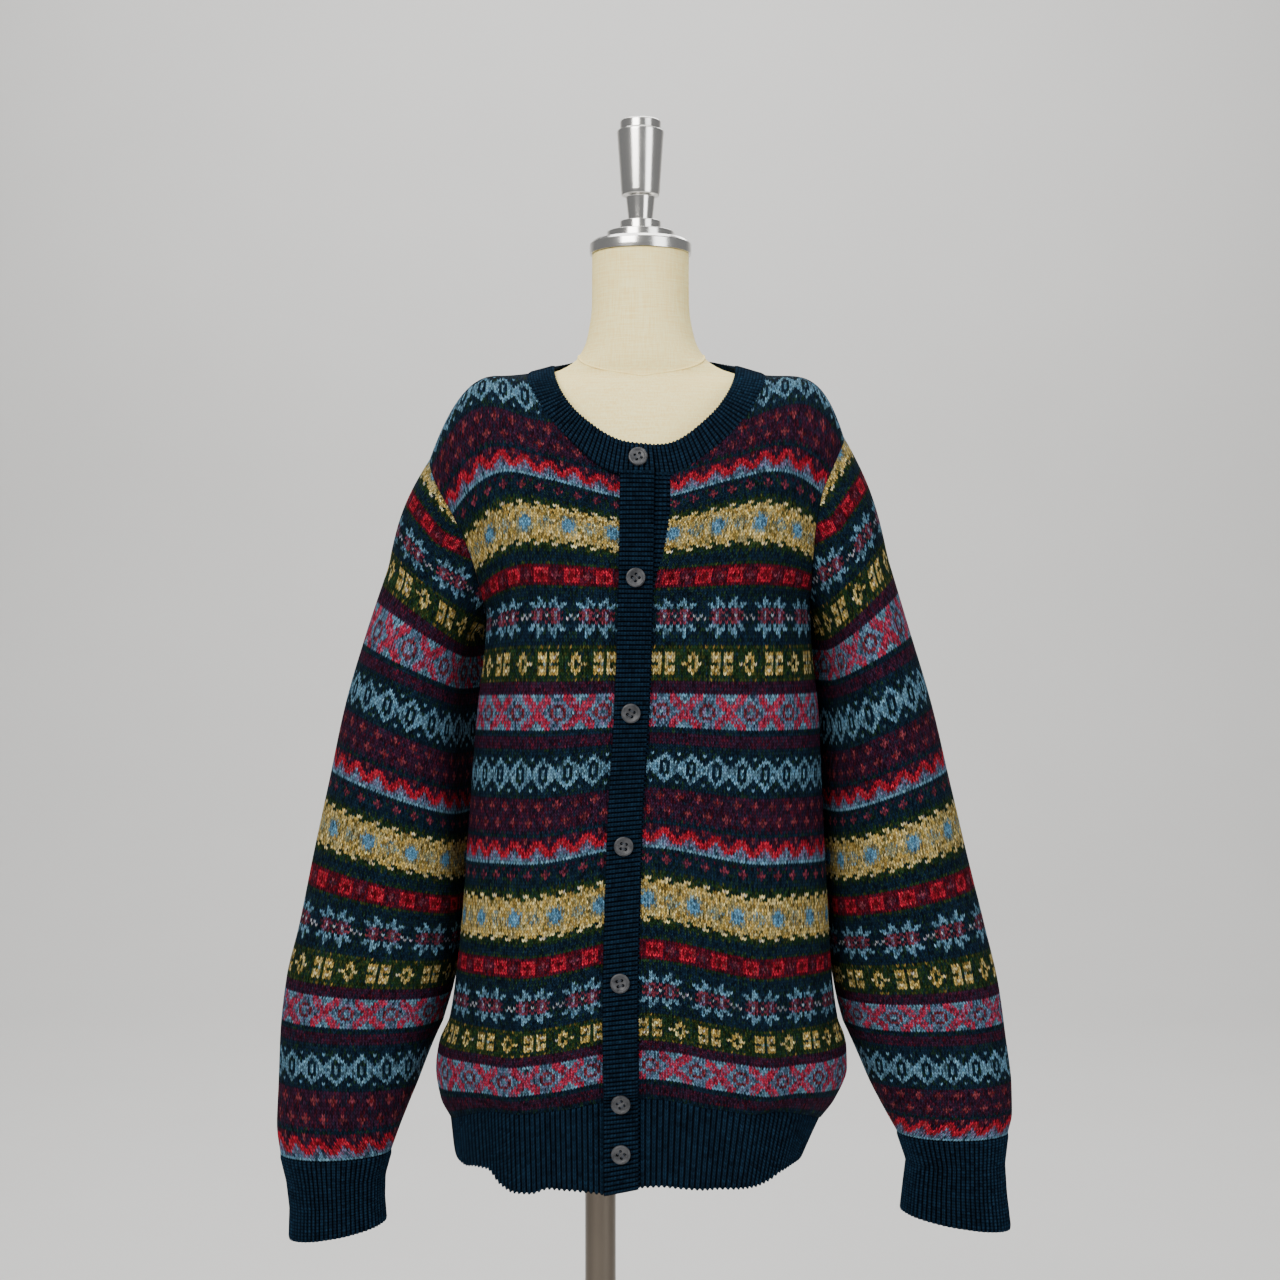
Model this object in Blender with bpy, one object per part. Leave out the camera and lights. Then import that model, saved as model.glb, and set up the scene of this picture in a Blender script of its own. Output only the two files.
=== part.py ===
"""Fair Isle wool cardigan worn by a limbless dress form on a pole stand.

Metres, +Z up. The front faces -Y and the wearer's left is towards +X.
The origin is the middle of the base plate's underside, on the pole's axis.
Knitted pieces are walls of even thickness between an outer and an inner grid of
points, 0.3 mm apart at their seams. Rows count knitted rows up from the rib.
"""
import math

import bmesh
import bpy
import numpy as np
from mathutils import Vector

# ------------------------------------------------------------------ driving sizes
CENTRE_X = 0.0357          # middle plane of form and garment, from the pole's axis
WALL = 0.0024              # knitted cloth
RIB_WALL = 0.0028          # ribbed cloth, without the ribs' rise
RIB_RISE = 0.0007          # a rib above or below the rib cloth's middle surface
SEAM_GAP = 0.0003
NECK_SEAM_GAP = 0.0010     # neckband and panels, whose end faces twist round the neck
NECK_GAP = 0.0008          # bands below the neckband, whose seam face slopes
BAND_GAP = 0.0005          # bands beside the fronts' edges
RIB_PITCH = 0.0043         # one raised rib and its furrow, on hem, cuffs and neckband
BAND_RIB_PITCH = 0.0037    # the same on the button band
BAND_HALF = 0.0137         # half the button band's width
BAND_LIFT = 0.0042         # outer face of the top band over the fronts
LAP_LIFT = 0.0045          # top end of the neckband over its lower end
LAP_Z = 1.234              # height of the neckband's lap
LAP_BELOW = 0.0082         # how far its lower end runs on under the top one
UNDER_RIBS = 0.22          # share of the under band that is ribbed, from its bared edge

UNDERARM_ROW = 168
SHOULDER_ROW = 267
ARCH_SHARE = 0.68          # share of the half width where a knitted row is highest
SECTION_POWER = 2.3        # squareness of the body's sections
SHOULDER_SQUARE = {"left": 3.4, "right": 2.3}   # how late each shoulder falls away

BUTTON_RADIUS = 0.0077
BUTTON_THICK = 0.0034
ROUND = 24                  # sides of a turned body

POLE_RADIUS = 0.0130
BASE_RADIUS = 0.170
BASE_THICK = 0.008
COLLAR_RADIUS = 0.026
COLLAR_HEIGHT = 0.030
FORM_BOTTOM = 0.700
NECK_X = 0.0336             # the form's neck, from the pole's axis


# ------------------------------------------------------------------ tables
def smooth_curve(keys, values, at):
    """Cubic curve through a table's rows that never overshoots them."""
    steps = np.diff(keys)
    slopes = np.diff(values) / steps
    tangents = np.zeros_like(values)
    tangents[0], tangents[-1] = slopes[0], slopes[-1]
    product = slopes[:-1] * slopes[1:]
    total = slopes[:-1] + slopes[1:]
    same_way = product > 0
    tangents[1:-1][same_way] = 2 * product[same_way] / total[same_way]
    at = np.clip(at, keys[0], keys[-1])
    i = np.clip(np.searchsorted(keys, at, side="right") - 1, 0, len(keys) - 2)
    t = (at - keys[i]) / steps[i]
    return ((2 * t**3 - 3 * t**2 + 1) * values[i] + (3 * t**2 - 2 * t**3) * values[i + 1]
            + ((t**3 - 2 * t**2 + t) * tangents[i] + (t**3 - t**2) * tangents[i + 1]) * steps[i])


class Table:
    """Named columns, each read by a smooth curve over the first one."""

    def __init__(self, columns, rows):
        data = np.array(rows, dtype=float)
        self.keys = data[:, 0]
        self.columns = dict(zip(columns.split()[1:], data[:, 1:].T))

    def at(self, column, key):
        return smooth_curve(self.keys, self.columns[column], np.asarray(key, dtype=float))


# Edges that front and back share: side seams up to the underarm, armholes above it.
EDGES = Table("row x_left x_right z_left z_right front_y back_y turn", [
    (0,   .1490, .1610, .706, .706, 0,    0,    1),
    (5,   .1605, .1690, .722, .722, 0,    0,    1),
    (12,  .1705, .1730, .747, .747, 0,    0,    1),
    (20,  .1700, .1710, .766, .766, 0,    0,    1),
    (30,  .1630, .1620, .788, .788, 0,    0,    1),
    (50,  .1575, .1555, .832, .832, 0,    0,    1),
    (70,  .1550, .1510, .877, .877, 0,    0,    1),
    (100, .1510, .1455, .955, .955, 0,    0,    1),
    (134, .1470, .1390, 1.043, 1.041, 0,  0,    1),
    (158, .1410, .1325, 1.1015, 1.096, 0, 0,    1),
    (168, .1400, .1310, 1.125, 1.117, 0,  0,    1),
    (180, .1390, .1330, 1.150, 1.140, .030, .028, .985),
    (198, .1400, .1410, 1.183, 1.172, .046, .043, .955),
    (217, .1450, .1540, 1.219, 1.203, .050, .047, .930),
    (232, .1535, .1650, 1.240, 1.222, .047, .044, .920),
    (245, .1610, .1725, 1.256, 1.237, .038, .036, .920),
    (256, .1660, .1765, 1.267, 1.248, .025, .024, .930),
    (267, .1685, .1790, 1.274, 1.255, 0,  0,    .950),
])
FRONT = Table("row z_mid z_arch depth", [
    (0,   .7375, .7205, .108),
    (5,   .749,  .731,  .116),
    (12,  .7665, .748,  .121),
    (20,  .785,  .767,  .1215),
    (30,  .808,  .790,  .1185),
    (50,  .854,  .835,  .1135),
    (70,  .900,  .881,  .1095),
    (100, .970,  .957,  .1045),
    (134, 1.046, 1.043, .1025),
    (158, 1.1005, 1.1005, .104),
    (168, 1.124, 1.1255, .105),
    (180, 1.151, 1.155, .1045),
    (198, 1.1855, 1.198, .102),
    (217, 1.223, 1.244, .097),
    (232, 1.258, 1.277, .087),
    (245, 1.289, 1.303, .070),
    (256, 1.318, 1.318, .045),
    (267, 1.342, 1.325, 0),
])
BACK = Table("row z_mid z_arch depth", [
    (0,   .729,  .722,  .103),
    (5,   .741,  .734,  .112),
    (12,  .758,  .751,  .118),
    (20,  .777,  .770,  .118),
    (30,  .800,  .793,  .113),
    (50,  .846,  .838,  .104),
    (70,  .891,  .884,  .097),
    (100, .961,  .957,  .090),
    (134, 1.041, 1.042, .086),
    (158, 1.098, 1.099, .087),
    (168, 1.122, 1.123, .088),
    (180, 1.150, 1.152, .089),
    (198, 1.191, 1.194, .089),
    (217, 1.232, 1.237, .086),
    (232, 1.265, 1.270, .079),
    (245, 1.295, 1.298, .066),
    (256, 1.320, 1.317, .045),
    (267, 1.342, 1.325, 0),
])
FACES = {"front": (FRONT, "front_y", -1), "back": (BACK, "back_y", 1)}

# Soft folds that run up the body: where they lie, how wide and how far they stand out.
FOLDS = [dict(zip("face share width low high rise".split(), row)) for row in (
    ("front", -.62, .085, -8, 62, .0040),
    ("front", -.36, .070, -8, 48, .0028),
    ("front", .30,  .080, -8, 70, .0036),
    ("front", .58,  .080, -8, 96, .0040),
    ("front", .83,  .060, -8, 60, .0028),
    ("back",  -.70, .090, -8, 110, .0050),
    ("back",  -.38, .080, -8, 150, .0055),
    ("back",  -.05, .075, -8, 120, .0045),
    ("back",  .27,  .085, -8, 160, .0055),
    ("back",  .62,  .090, -8, 120, .0050),
)]

# The button band leans a little: its middle, from the middle plane, over the height.
BAND_LINE = Table("z x", [
    (.660, -.0166), (.740, -.0168), (.800, -.0174), (.950, -.0143), (1.045, -.0088),
    (1.150, -.0052), (1.240, -.0040),
])
# The left front pulls away to the side near the neck and bares the band below.
BAND_PULL = Table("z width", [(.660, 0), (1.140, 0), (1.178, .0080), (1.210, .0120), (1.240, .0120)])

NECK_OUT = dict(half=.0975, shift=.0030, top=1.322, drop=.0935, power=1.5)
BACK_NECK_ROW = 253
NECK_IN = dict(half=.0757, shift=.0015, top=1.3330, drop=.0760, power=1.7, front_y=.086,
               back_y=.0540, back_top=1.3470, plan_power=2.8)

SLEEVES = {
    "right": Table("stage x_in z_in x_out z_out depth", [
        (1,  .146, 1.108, .213, 1.165, .055),
        (2,  .153, 1.068, .232, 1.108, .060),
        (3,  .157, 1.010, .249, 1.050, .060),
        (4,  .157, .948,  .263, .985,  .057),
        (5,  .157, .895,  .276, .925,  .053),
        (6,  .160, .848,  .288, .866,  .050),
        (7,  .167, .812,  .299, .820,  .048),
        (8,  .179, .772,  .304, .775,  .047),
        (9,  .190, .732,  .3055, .735, .045),
        (10, .2035, .697, .307, .698,  .041),
        (11, .2115, .675, .304, .6725, .035),
    ]),
    "left": Table("stage x_in z_in x_out z_out depth", [
        (1,  .152, 1.112, .205, 1.172, .055),
        (2,  .158, 1.075, .222, 1.115, .060),
        (3,  .162, 1.012, .2415, 1.050, .060),
        (4,  .162, .950,  .257, .985,  .057),
        (5,  .162, .894,  .272, .922,  .053),
        (6,  .1645, .845, .287, .862,  .050),
        (7,  .1695, .808, .298, .815,  .048),
        (8,  .1795, .770, .304, .772,  .047),
        (9,  .192, .731,  .309, .732,  .045),
        (10, .2035, .708, .3095, .708, .042),
        (11, .2135, .6905, .306, .6905, .036),
    ]),
}
# A cuff starts from its sleeve's last stage.
CUFFS = {
    "right": [
        (1, .2170, .655,  .2985, .650,  .0315),
        (2, .2176, .636,  .2958, .628,  .0320),
        (3, .2160, .616,  .2965, .602,  .0340),
    ],
    "left": [
        (1, .2215, .667,  .3030, .665,  .0315),
        (2, .2190, .647,  .3045, .640,  .0320),
        (3, .2165, .625,  .3080, .610,  .0340),
    ],
}
# Which half of the garment each sleeve hangs on: +1 is the wearer's left.
SIDES = {"right": -1, "left": 1}

HEM = dict(x_right=.1580, x_left=.1345, front=.1045, back=.0985, z_front=.6710, z_side=.6745)

FORM = Table("z half_x front back power", [
    (.700,  .112, .076, .080, 2.3),
    (.760,  .124, .084, .088, 2.3),
    (.850,  .122, .082, .084, 2.3),
    (.960,  .104, .074, .068, 2.3),
    (1.060, .106, .082, .068, 2.3),
    (1.130, .112, .090, .071, 2.3),
    (1.190, .121, .086, .073, 2.3),
    (1.240, .133, .073, .068, 2.2),
    (1.275, .1430, .061, .058, 1.95),
    (1.296, .1425, .053, .051, 1.8),
    (1.308, .1345, .0475, .0465, 1.75),
    (1.3171, .1210, .0420, .0390, 1.65),
    (1.3211, .1050, .0390, .0365, 1.55),
    (1.3241, .0880, .0380, .0365, 1.6),
    (1.3291, .069, .0400, .0405, 1.85),
    (1.338, .055, .041, .043, 2.0),
    (1.356, .0455, .0405, .0430, 2.0),
    (1.385, .0412, .0400, .0410, 2.0),
    (1.426, .0410, .0410, .0410, 2.0),
])
FORM_RINGS = (.700, .760, .850, .960, 1.060, 1.130, 1.190, 1.240, 1.275, 1.296, 1.308,
              1.3171, 1.3211, 1.3241, 1.3291, 1.338, 1.356, 1.385, 1.426)

# Turned metal above the neck: radius and height of each corner.
CAP_PROFILE = [(.0425, 1.4263), (.0428, 1.4290), (.0428, 1.4345), (.0405, 1.4372), (.0283, 1.4380),
               (.0283, 1.4450), (.0172, 1.4463), (.0172, 1.4541), (.0110, 1.4548)]
FINIAL_PROFILE = [(.0100, 1.4551), (.0103, 1.4570), (.0122, 1.4748), (.0158, 1.4760), (.0163, 1.4790),
                  (.0197, 1.5285), (.0197, 1.5300), (.0172, 1.5312), (.0172, 1.5380), (.0160, 1.5390)]
BUTTON_HEIGHTS = (1.1520, 1.0453, .9408, .8347, .7410, .6995)


# ------------------------------------------------------------------ the body's surface
def smooth_step(t):
    t = np.clip(t, 0, 1)
    return t * t * (3 - 2 * t)


def unit(v):
    return v / np.maximum(np.linalg.norm(v, axis=-1, keepdims=True), 1e-12)


def bow(share, turn):
    """A section's depth over its half width, 1 in the middle and 0 at the edge."""
    def arc(t):
        return np.maximum(1 - t ** SECTION_POWER, 0) ** (1 / SECTION_POWER)
    return (arc(np.abs(share) * turn) - arc(turn)) / (1 - arc(turn))


def fold_rise(face, share, row):
    """How far the soft folds stand out at a place on the body."""
    total = np.zeros(np.broadcast(share, row).shape)
    for fold in FOLDS:
        if fold["face"] == face:
            across = np.exp(-((share - fold["share"]) / fold["width"]) ** 2)
            up = smooth_step((fold["high"] - row) / 45) * smooth_step((row - fold["low"]) / 8)
            total = total + fold["rise"] * across * up
    return total


def body_point(face, share, row):
    """Outer surface: share is -1 at the wearer's right edge and +1 at the left edge."""
    share, row = np.broadcast_arrays(np.asarray(share, float), np.asarray(row, float))
    table, edge_column, way = FACES[face]
    out = np.abs(share)
    left = share > 0
    reach = np.where(left, EDGES.at("x_left", row), EDGES.at("x_right", row))
    z_edge = np.where(left, EDGES.at("z_left", row), EDGES.at("z_right", row))
    z_mid, z_arch = table.at("z_mid", row), table.at("z_arch", row)
    square = np.where(left, SHOULDER_SQUARE["left"], SHOULDER_SQUARE["right"])
    power = 2 + (square - 2) * smooth_step((row - 217) / 50)
    past = np.clip((out - ARCH_SHARE) / (1 - ARCH_SHARE), 0, 1) ** power
    z = z_mid + (z_arch - z_mid) * smooth_step(out / ARCH_SHARE) + (z_edge - z_arch) * past
    edge = EDGES.at(edge_column, row)
    y = edge + (table.at("depth", row) - edge) * bow(share, EDGES.at("turn", row))
    y = y + fold_rise(face, share, row)
    return np.stack([CENTRE_X + share * reach, way * y, z], axis=-1)


def share_at(x, row):
    """Share of the half width at a distance from the middle plane."""
    return x / np.where(x > 0, EDGES.at("x_left", row), EDGES.at("x_right", row))


# ------------------------------------------------------------------ neckline and placket
def superellipse(t, power):
    return (1 - np.clip(np.abs(t), 0, 1) ** power) ** (1 / power)


def neck_height(x):
    """Height of the neck seam on the front at a distance from the middle plane."""
    t = (x - NECK_OUT["shift"]) / NECK_OUT["half"]
    return NECK_OUT["top"] - NECK_OUT["drop"] * superellipse(t, NECK_OUT["power"])


def neck_corner(side):
    """Share at which the shoulder seam meets the neck seam."""
    return share_at(NECK_OUT["shift"] + side * NECK_OUT["half"], SHOULDER_ROW)


def in_neck(share, row):
    """Whether a place of the front lies inside the neck opening."""
    place = body_point("front", share, row)
    x = place[..., 0] - CENTRE_X
    return (np.abs(x - NECK_OUT["shift"]) < NECK_OUT["half"]) & (place[..., 2] > neck_height(x))


def neck_start(side):
    """Row at which the neck seam meets the placket edge of a front."""
    low, high = 190.0, 250.0
    for _ in range(30):
        row = (low + high) / 2
        if in_neck(share_at(placket_edge(side, FRONT.at("z_mid", row)), row), row):
            high = row
        else:
            low = row
    return high


def front_edge(side, rows, start):
    """Share of a front's inner edge at each row: the placket, and above it the neck seam."""
    below = np.minimum(rows, start)
    placket = side * share_at(placket_edge(side, FRONT.at("z_mid", below)), below)
    low, high = np.zeros(len(rows)), np.ones(len(rows))
    for _ in range(30):
        share = (low + high) / 2
        inside = in_neck(side * share, rows)
        low, high = np.where(inside, share, low), np.where(inside, high, share)
    return np.where(rows > start + 1e-6, high, placket)


def back_top_row(share):
    """Row at which a column of the back ends: at the neck seam, or at the shoulder."""
    left, right = neck_corner(1), neck_corner(-1)
    t = np.clip(np.abs(share - (left + right) / 2) / ((left - right) / 2), 0, 1)
    return BACK_NECK_ROW + (SHOULDER_ROW - BACK_NECK_ROW) * t ** 2.2


def placket_edge(side, z):
    """Edge of a front beside the bands, from the middle plane."""
    pull = BAND_PULL.at("width", z) if side > 0 else 0
    return BAND_LINE.at("x", z) + side * (BAND_HALF + SEAM_GAP) + pull


# ------------------------------------------------------------------ grids of points
FRONT_COLUMNS = 12
NECK_COLUMNS = 11
SHOULDER_COLUMNS = 5
LOWER_ROWS = np.array([0, 5, 12, 20, 30, 45, 62, 82, 104, 126, 148, UNDERARM_ROW])
YOKE_ROWS = (178, 192, 206)
NECK_STEPS = np.array([0, .2, .42, .60, .74, .87, 1])
YOKE_SPANS = len(YOKE_ROWS) + len(NECK_STEPS)


def grid_normals(grid, closed=False):
    """Unit normals of a grid whose rows run up and whose columns run one way across."""
    if closed:
        wide = np.concatenate([grid[:, -1:], grid, grid[:, :1]], axis=1)
        across = np.gradient(wide, axis=1)[:, 1:-1]
    else:
        across = np.gradient(grid, axis=1)
    return unit(np.cross(across, np.gradient(grid, axis=0)))


def seat_seams(grid, normals, way, edges, shoulder):
    """Puts side and shoulder seams half a gap from y = 0 and squares their end faces to Y."""
    low = len(LOWER_ROWS)
    for part in [(slice(low), edge) for edge in edges] + [(-1, column) for column in shoulder]:
        grid[part + (1,)] = way * SEAM_GAP / 2
        normals[part + (1,)] = 0
    return grid, unit(normals)


def front_grid(side):
    """Outer points of a front: columns from the placket out to the side seam."""
    start = neck_start(side)
    rows = np.concatenate([LOWER_ROWS, YOKE_ROWS, start + NECK_STEPS * (SHOULDER_ROW - start)])
    inner = front_edge(side, rows, start)
    t = np.sin(np.linspace(0, math.pi / 2, FRONT_COLUMNS)) * .55 + np.linspace(0, .45, FRONT_COLUMNS)
    shares = inner[:, None] * (1 - t[None, :]) + t[None, :]
    grid = body_point("front", side * shares, rows[:, None])
    normals = grid_normals(grid) * side
    return seat_seams(grid, normals, -1, [-1], range(FRONT_COLUMNS))


def back_grid():
    """Outer points of the back, columns from the wearer's left side to the right."""
    left, right = neck_corner(1), neck_corner(-1)
    bend = np.sin(np.linspace(0, math.pi / 2, SHOULDER_COLUMNS + 1))
    sweep = np.sin(np.linspace(-math.pi / 2, math.pi / 2, NECK_COLUMNS + 1))[1:-1]
    shares = np.concatenate([(left + (1 - left) * bend)[::-1],
                             (left + right) / 2 + (right - left) / 2 * sweep,
                             right + (-1 - right) * bend])
    tops = back_top_row(shares)
    lower = np.repeat(LOWER_ROWS[:, None], len(shares), axis=1)
    upper = np.concatenate([YOKE_ROWS, 220 + NECK_STEPS * (SHOULDER_ROW - 220)])
    steps = (upper - UNDERARM_ROW) / (SHOULDER_ROW - UNDERARM_ROW)
    yoke = UNDERARM_ROW + steps[:, None] * (tops[None, :] - UNDERARM_ROW)
    grid = body_point("back", shares[None, :], np.concatenate([lower, yoke]))
    normals = grid_normals(grid)
    shoulders = list(range(SHOULDER_COLUMNS + 1)) + list(range(-1 - SHOULDER_COLUMNS, 0))
    return seat_seams(grid, normals, 1, [0, -1], shoulders)


def hem_foot(face, share):
    """Lower edge of the ribbed hem."""
    reach = np.where(share > 0, HEM["x_left"], HEM["x_right"])
    way = -1 if face == "front" else 1
    y = way * (HEM[face] * superellipse(share, SECTION_POWER) + fold_rise(face, share, 0))
    z = HEM["z_front"] + (HEM["z_side"] - HEM["z_front"]) * share ** 2
    return np.stack([CENTRE_X + share * reach, y, z], axis=-1)


def ring(table_row, phi, side):
    """Points round one stage of a sleeve: 0 is its outer side, then the front, pi is inside."""
    x_in, z_in, x_out, z_out, depth = table_row
    reach = np.cos(phi)
    x = (x_out + x_in) / 2 + reach * (x_out - x_in) / 2
    z = (z_out + z_in) / 2 + reach * (z_out - z_in) / 2
    return np.stack([CENTRE_X + side * x, -depth * np.sin(phi), z], axis=-1)


SLEEVE_COLUMNS = "x_in z_in x_out z_out depth".split()
SLEEVE_STAGES = (1, 1.5, 2, 2.7, 3.5, 4.5, 5.7, 7, 8, 9, 10, 11)
CAP_STEPS = (.2, .45, .72)
CAP_BULGE = 0.006


def armhole(side, fronts, back):
    """The body's points round one armhole, from the shoulder down the front and up the back."""
    low = len(LOWER_ROWS) - 1
    front, front_normals = fronts[side]
    back_points, back_normals = back
    back_edge = 0 if side > 0 else -1
    loop = np.concatenate([front[low:, -1][::-1], back_points[low + 1:-1, back_edge]])
    normals = np.concatenate([front_normals[low:, -1][::-1], back_normals[low + 1:-1, back_edge]])
    loop[0, 1] = 0
    loop[YOKE_SPANS, 1] = 0
    return loop, normals


def sleeve_grid(name, fronts, back):
    """Outer points of a sleeve, rings from the armhole down, and its armhole normals."""
    side = SIDES[name]
    loop, loop_normals = armhole(side, fronts, back)
    table = SLEEVES[name]
    closed = np.concatenate([loop, loop[:1]])
    run = np.concatenate([[0], np.cumsum(np.linalg.norm(np.diff(closed, axis=0), axis=1))])
    half = YOKE_SPANS
    phi = np.concatenate([math.pi * run[:half] / run[half],
                          math.pi * (1 + (run[half:-1] - run[half]) / (run[-1] - run[half]))])
    first = ring([table.at(c, 1) for c in SLEEVE_COLUMNS], phi, side)
    outward = unit(first - first.mean(axis=0)) * (.5 + .5 * np.cos(phi))[:, None]
    rings = [loop]
    for step in CAP_STEPS:
        rings.append(loop + (first - loop) * step + outward * CAP_BULGE * math.sin(math.pi * step))
    rings += [ring([table.at(c, stage) for c in SLEEVE_COLUMNS], phi, side) for stage in SLEEVE_STAGES]
    grid = np.array(rings)
    onward = unit(grid[1] - grid[0])
    grid[0] = grid[0] + SEAM_GAP * onward
    normals = grid_normals(grid, closed=True)
    if np.sum(normals[5] * (grid[5] - grid[5].mean(axis=0))) < 0:
        normals = -normals
    normals[0] = unit(normals[0] + loop_normals)
    return grid, normals, phi


def share_armhole_normals(fronts, back, side, ring_normals):
    """Gives the body's armhole edge the same end face as the sleeve's first ring."""
    low, half = len(LOWER_ROWS) - 1, YOKE_SPANS
    back_edge = 0 if side > 0 else -1
    fronts[side][1][low:, -1] = ring_normals[:half + 1][::-1]
    back[1][low + 1:-1, back_edge] = ring_normals[half + 1:]
    back[1][low, back_edge] = ring_normals[half]
    back[1][-1, back_edge] = ring_normals[0]


# ------------------------------------------------------------------ meshes
def make_object(name, points, faces, material, sharp=40):
    mesh = bpy.data.meshes.new(name)
    mesh.from_pydata([tuple(p) for p in points], [], faces)
    form = bmesh.new()
    form.from_mesh(mesh)
    bmesh.ops.recalc_face_normals(form, faces=form.faces)
    form.to_mesh(mesh)
    form.free()
    mesh.shade_smooth()
    mesh.set_sharp_from_angle(angle=math.radians(sharp))
    mesh.materials.append(material)
    node = bpy.data.objects.new(name, mesh)
    bpy.context.collection.objects.link(node)
    return node


def sheet_faces(rows, columns, first, closed):
    """Quads of a grid of points whose first point has the given number."""
    faces = []
    for i in range(rows - 1):
        for j in range(columns if closed else columns - 1):
            k = (j + 1) % columns
            a, b = first + i * columns, first + (i + 1) * columns
            faces.append((a + j, a + k, b + k, b + j))
    return faces


def zip_rim(fine, coarse, fine_at, coarse_at):
    """Triangles between two edges with different numbers of points."""
    faces = []
    i = j = 0
    while i < len(fine) - 1 or j < len(coarse) - 1:
        step_fine = j == len(coarse) - 1 or (i < len(fine) - 1 and fine_at[i + 1] <= coarse_at[j + 1])
        if step_fine:
            faces.append((fine[i], fine[i + 1], coarse[j]))
            i += 1
        else:
            faces.append((fine[i], coarse[j + 1], coarse[j]))
            j += 1
    return faces


def end_face(a, b, count, points):
    """Two triangles of a wall's end, split the same way on both sides of a seam."""
    if points[b][2] > points[a][2]:
        a, b = b, a
    return [(a, b, count + b), (a, count + b, count + a)]


def wall(name, outer, normals, thickness, material, closed=False):
    """A cloth wall of even thickness under a grid of outer points."""
    rows, columns = outer.shape[:2]
    inner = outer - normals * thickness
    points = np.concatenate([outer.reshape(-1, 3), inner.reshape(-1, 3)])
    count = rows * columns
    faces = sheet_faces(rows, columns, 0, closed) + sheet_faces(rows, columns, count, closed)
    edges = [(row * columns + j, row * columns + (j + 1) % columns) for row in (0, rows - 1)
             for j in range(columns if closed else columns - 1)]
    if not closed:
        edges += [(i * columns + column, (i + 1) * columns + column) for column in (0, columns - 1)
                  for i in range(rows - 1)]
    for a, b in edges:
        faces += end_face(a, b, count, points)
    return make_object(name, points, faces, material)


def ribbed_wall(name, middle, normals, pitch, material, closed=False, plain_from=1.0):
    """A wall with ribs raised in its outer points over a plain inside.

    The ribs cross the grid's columns; past the share plain_from the outside is plain too.
    """
    if closed:
        middle = np.concatenate([middle, middle[:, :1]], axis=1)
        normals = np.concatenate([normals, normals[:, :1]], axis=1)
    steps = np.linalg.norm(np.diff(middle[0], axis=0), axis=1)
    at = np.concatenate([[0], np.cumsum(steps)])
    ribs = max(2, round(at[-1] / pitch))
    at = at / at[-1]
    fine_at = np.linspace(0, 1, 2 * ribs + 1)
    rise = np.where(np.arange(2 * ribs + 1) % 2, RIB_RISE, -RIB_RISE)
    if plain_from < 1:
        plain = at[at > plain_from]
        rise = np.concatenate([rise[fine_at <= plain_from], np.zeros(len(plain))])
        fine_at = np.concatenate([fine_at[fine_at <= plain_from], plain])

    def blend(values):
        return np.stack([[np.interp(fine_at, at, line[:, k]) for k in range(3)]
                         for line in values]).transpose(0, 2, 1)
    outer = blend(middle) + unit(blend(normals)) * rise[None, :, None]
    inner = middle - normals * RIB_WALL
    if closed:
        outer, inner = outer[:, :-1], inner[:, :-1]
    rows, fine, coarse = outer.shape[0], outer.shape[1], inner.shape[1]
    points = np.concatenate([outer.reshape(-1, 3), inner.reshape(-1, 3)])
    count = rows * fine
    faces = sheet_faces(rows, fine, 0, closed) + sheet_faces(rows, coarse, count, closed)
    for row in (0, rows - 1):
        fine_rim = [row * fine + j for j in range(fine)]
        coarse_rim = [count + row * coarse + j for j in range(coarse)]
        if closed:
            fine_rim.append(fine_rim[0])
            coarse_rim.append(coarse_rim[0])
        faces += zip_rim(fine_rim, coarse_rim, fine_at, at)
    if not closed:
        for fine_end, coarse_end in ((0, 0), (fine - 1, coarse - 1)):
            for i in range(rows - 1):
                a, b = i * fine + fine_end, (i + 1) * fine + fine_end
                c, d = count + (i + 1) * coarse + coarse_end, count + i * coarse + coarse_end
                faces.append((a, b, c, d))
    return make_object(name, points, faces, material)


def turned(name, profile, x, material, segments=ROUND):
    """A body turned about an upright axis at the given x."""
    angles = np.linspace(0, 2 * math.pi, segments, endpoint=False)
    points = [(x + r * math.cos(a), r * math.sin(a), z) for r, z in profile for a in angles]
    faces = sheet_faces(len(profile), segments, 0, True)
    faces.append(tuple(range(segments)))
    faces.append(tuple(range((len(profile) - 1) * segments, len(profile) * segments)))
    return make_object(name, points, faces, material)


def make_material(name, colour, roughness, metallic=0.0):
    material = bpy.data.materials.new(name)
    material.use_nodes = True
    shader = material.node_tree.nodes["Principled BSDF"]
    shader.inputs["Base Color"].default_value = (*colour, 1)
    shader.inputs["Roughness"].default_value = roughness
    shader.inputs["Metallic"].default_value = metallic
    material.diffuse_color = (*colour, 1)
    return material


# ------------------------------------------------------------------ the cardigan
def make_hem(name, top, normals, foot, material):
    """Ribbed hem under a panel's lower edge."""
    grid = np.stack([foot, top - np.array([0, 0, SEAM_GAP])])
    ribbed_wall(name, grid, np.stack([normals, normals]), RIB_PITCH, material)


def make_cuff(name, sleeve_end, sleeve_normals, phi, material):
    side = SIDES[name]
    rings = [sleeve_end - np.array([0, 0, SEAM_GAP])]
    rings += [ring(row[1:], phi, side) for row in CUFFS[name]]
    grid = np.array(rings)[[0, 1, 3]]
    normals = grid_normals(grid, closed=True)
    if np.sum(normals[1] * (grid[1] - grid[1].mean(axis=0))) < 0:
        normals = -normals
    normals[0] = sleeve_normals
    ribbed_wall("cuff_" + name, grid, normals, RIB_PITCH, material, closed=True)


def placket_line(front, foot):
    """A front's placket edge, from the hem's foot up to the neck seam."""
    return np.concatenate([foot[None, :], front[:-len(NECK_STEPS) + 1, 0]])


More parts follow.
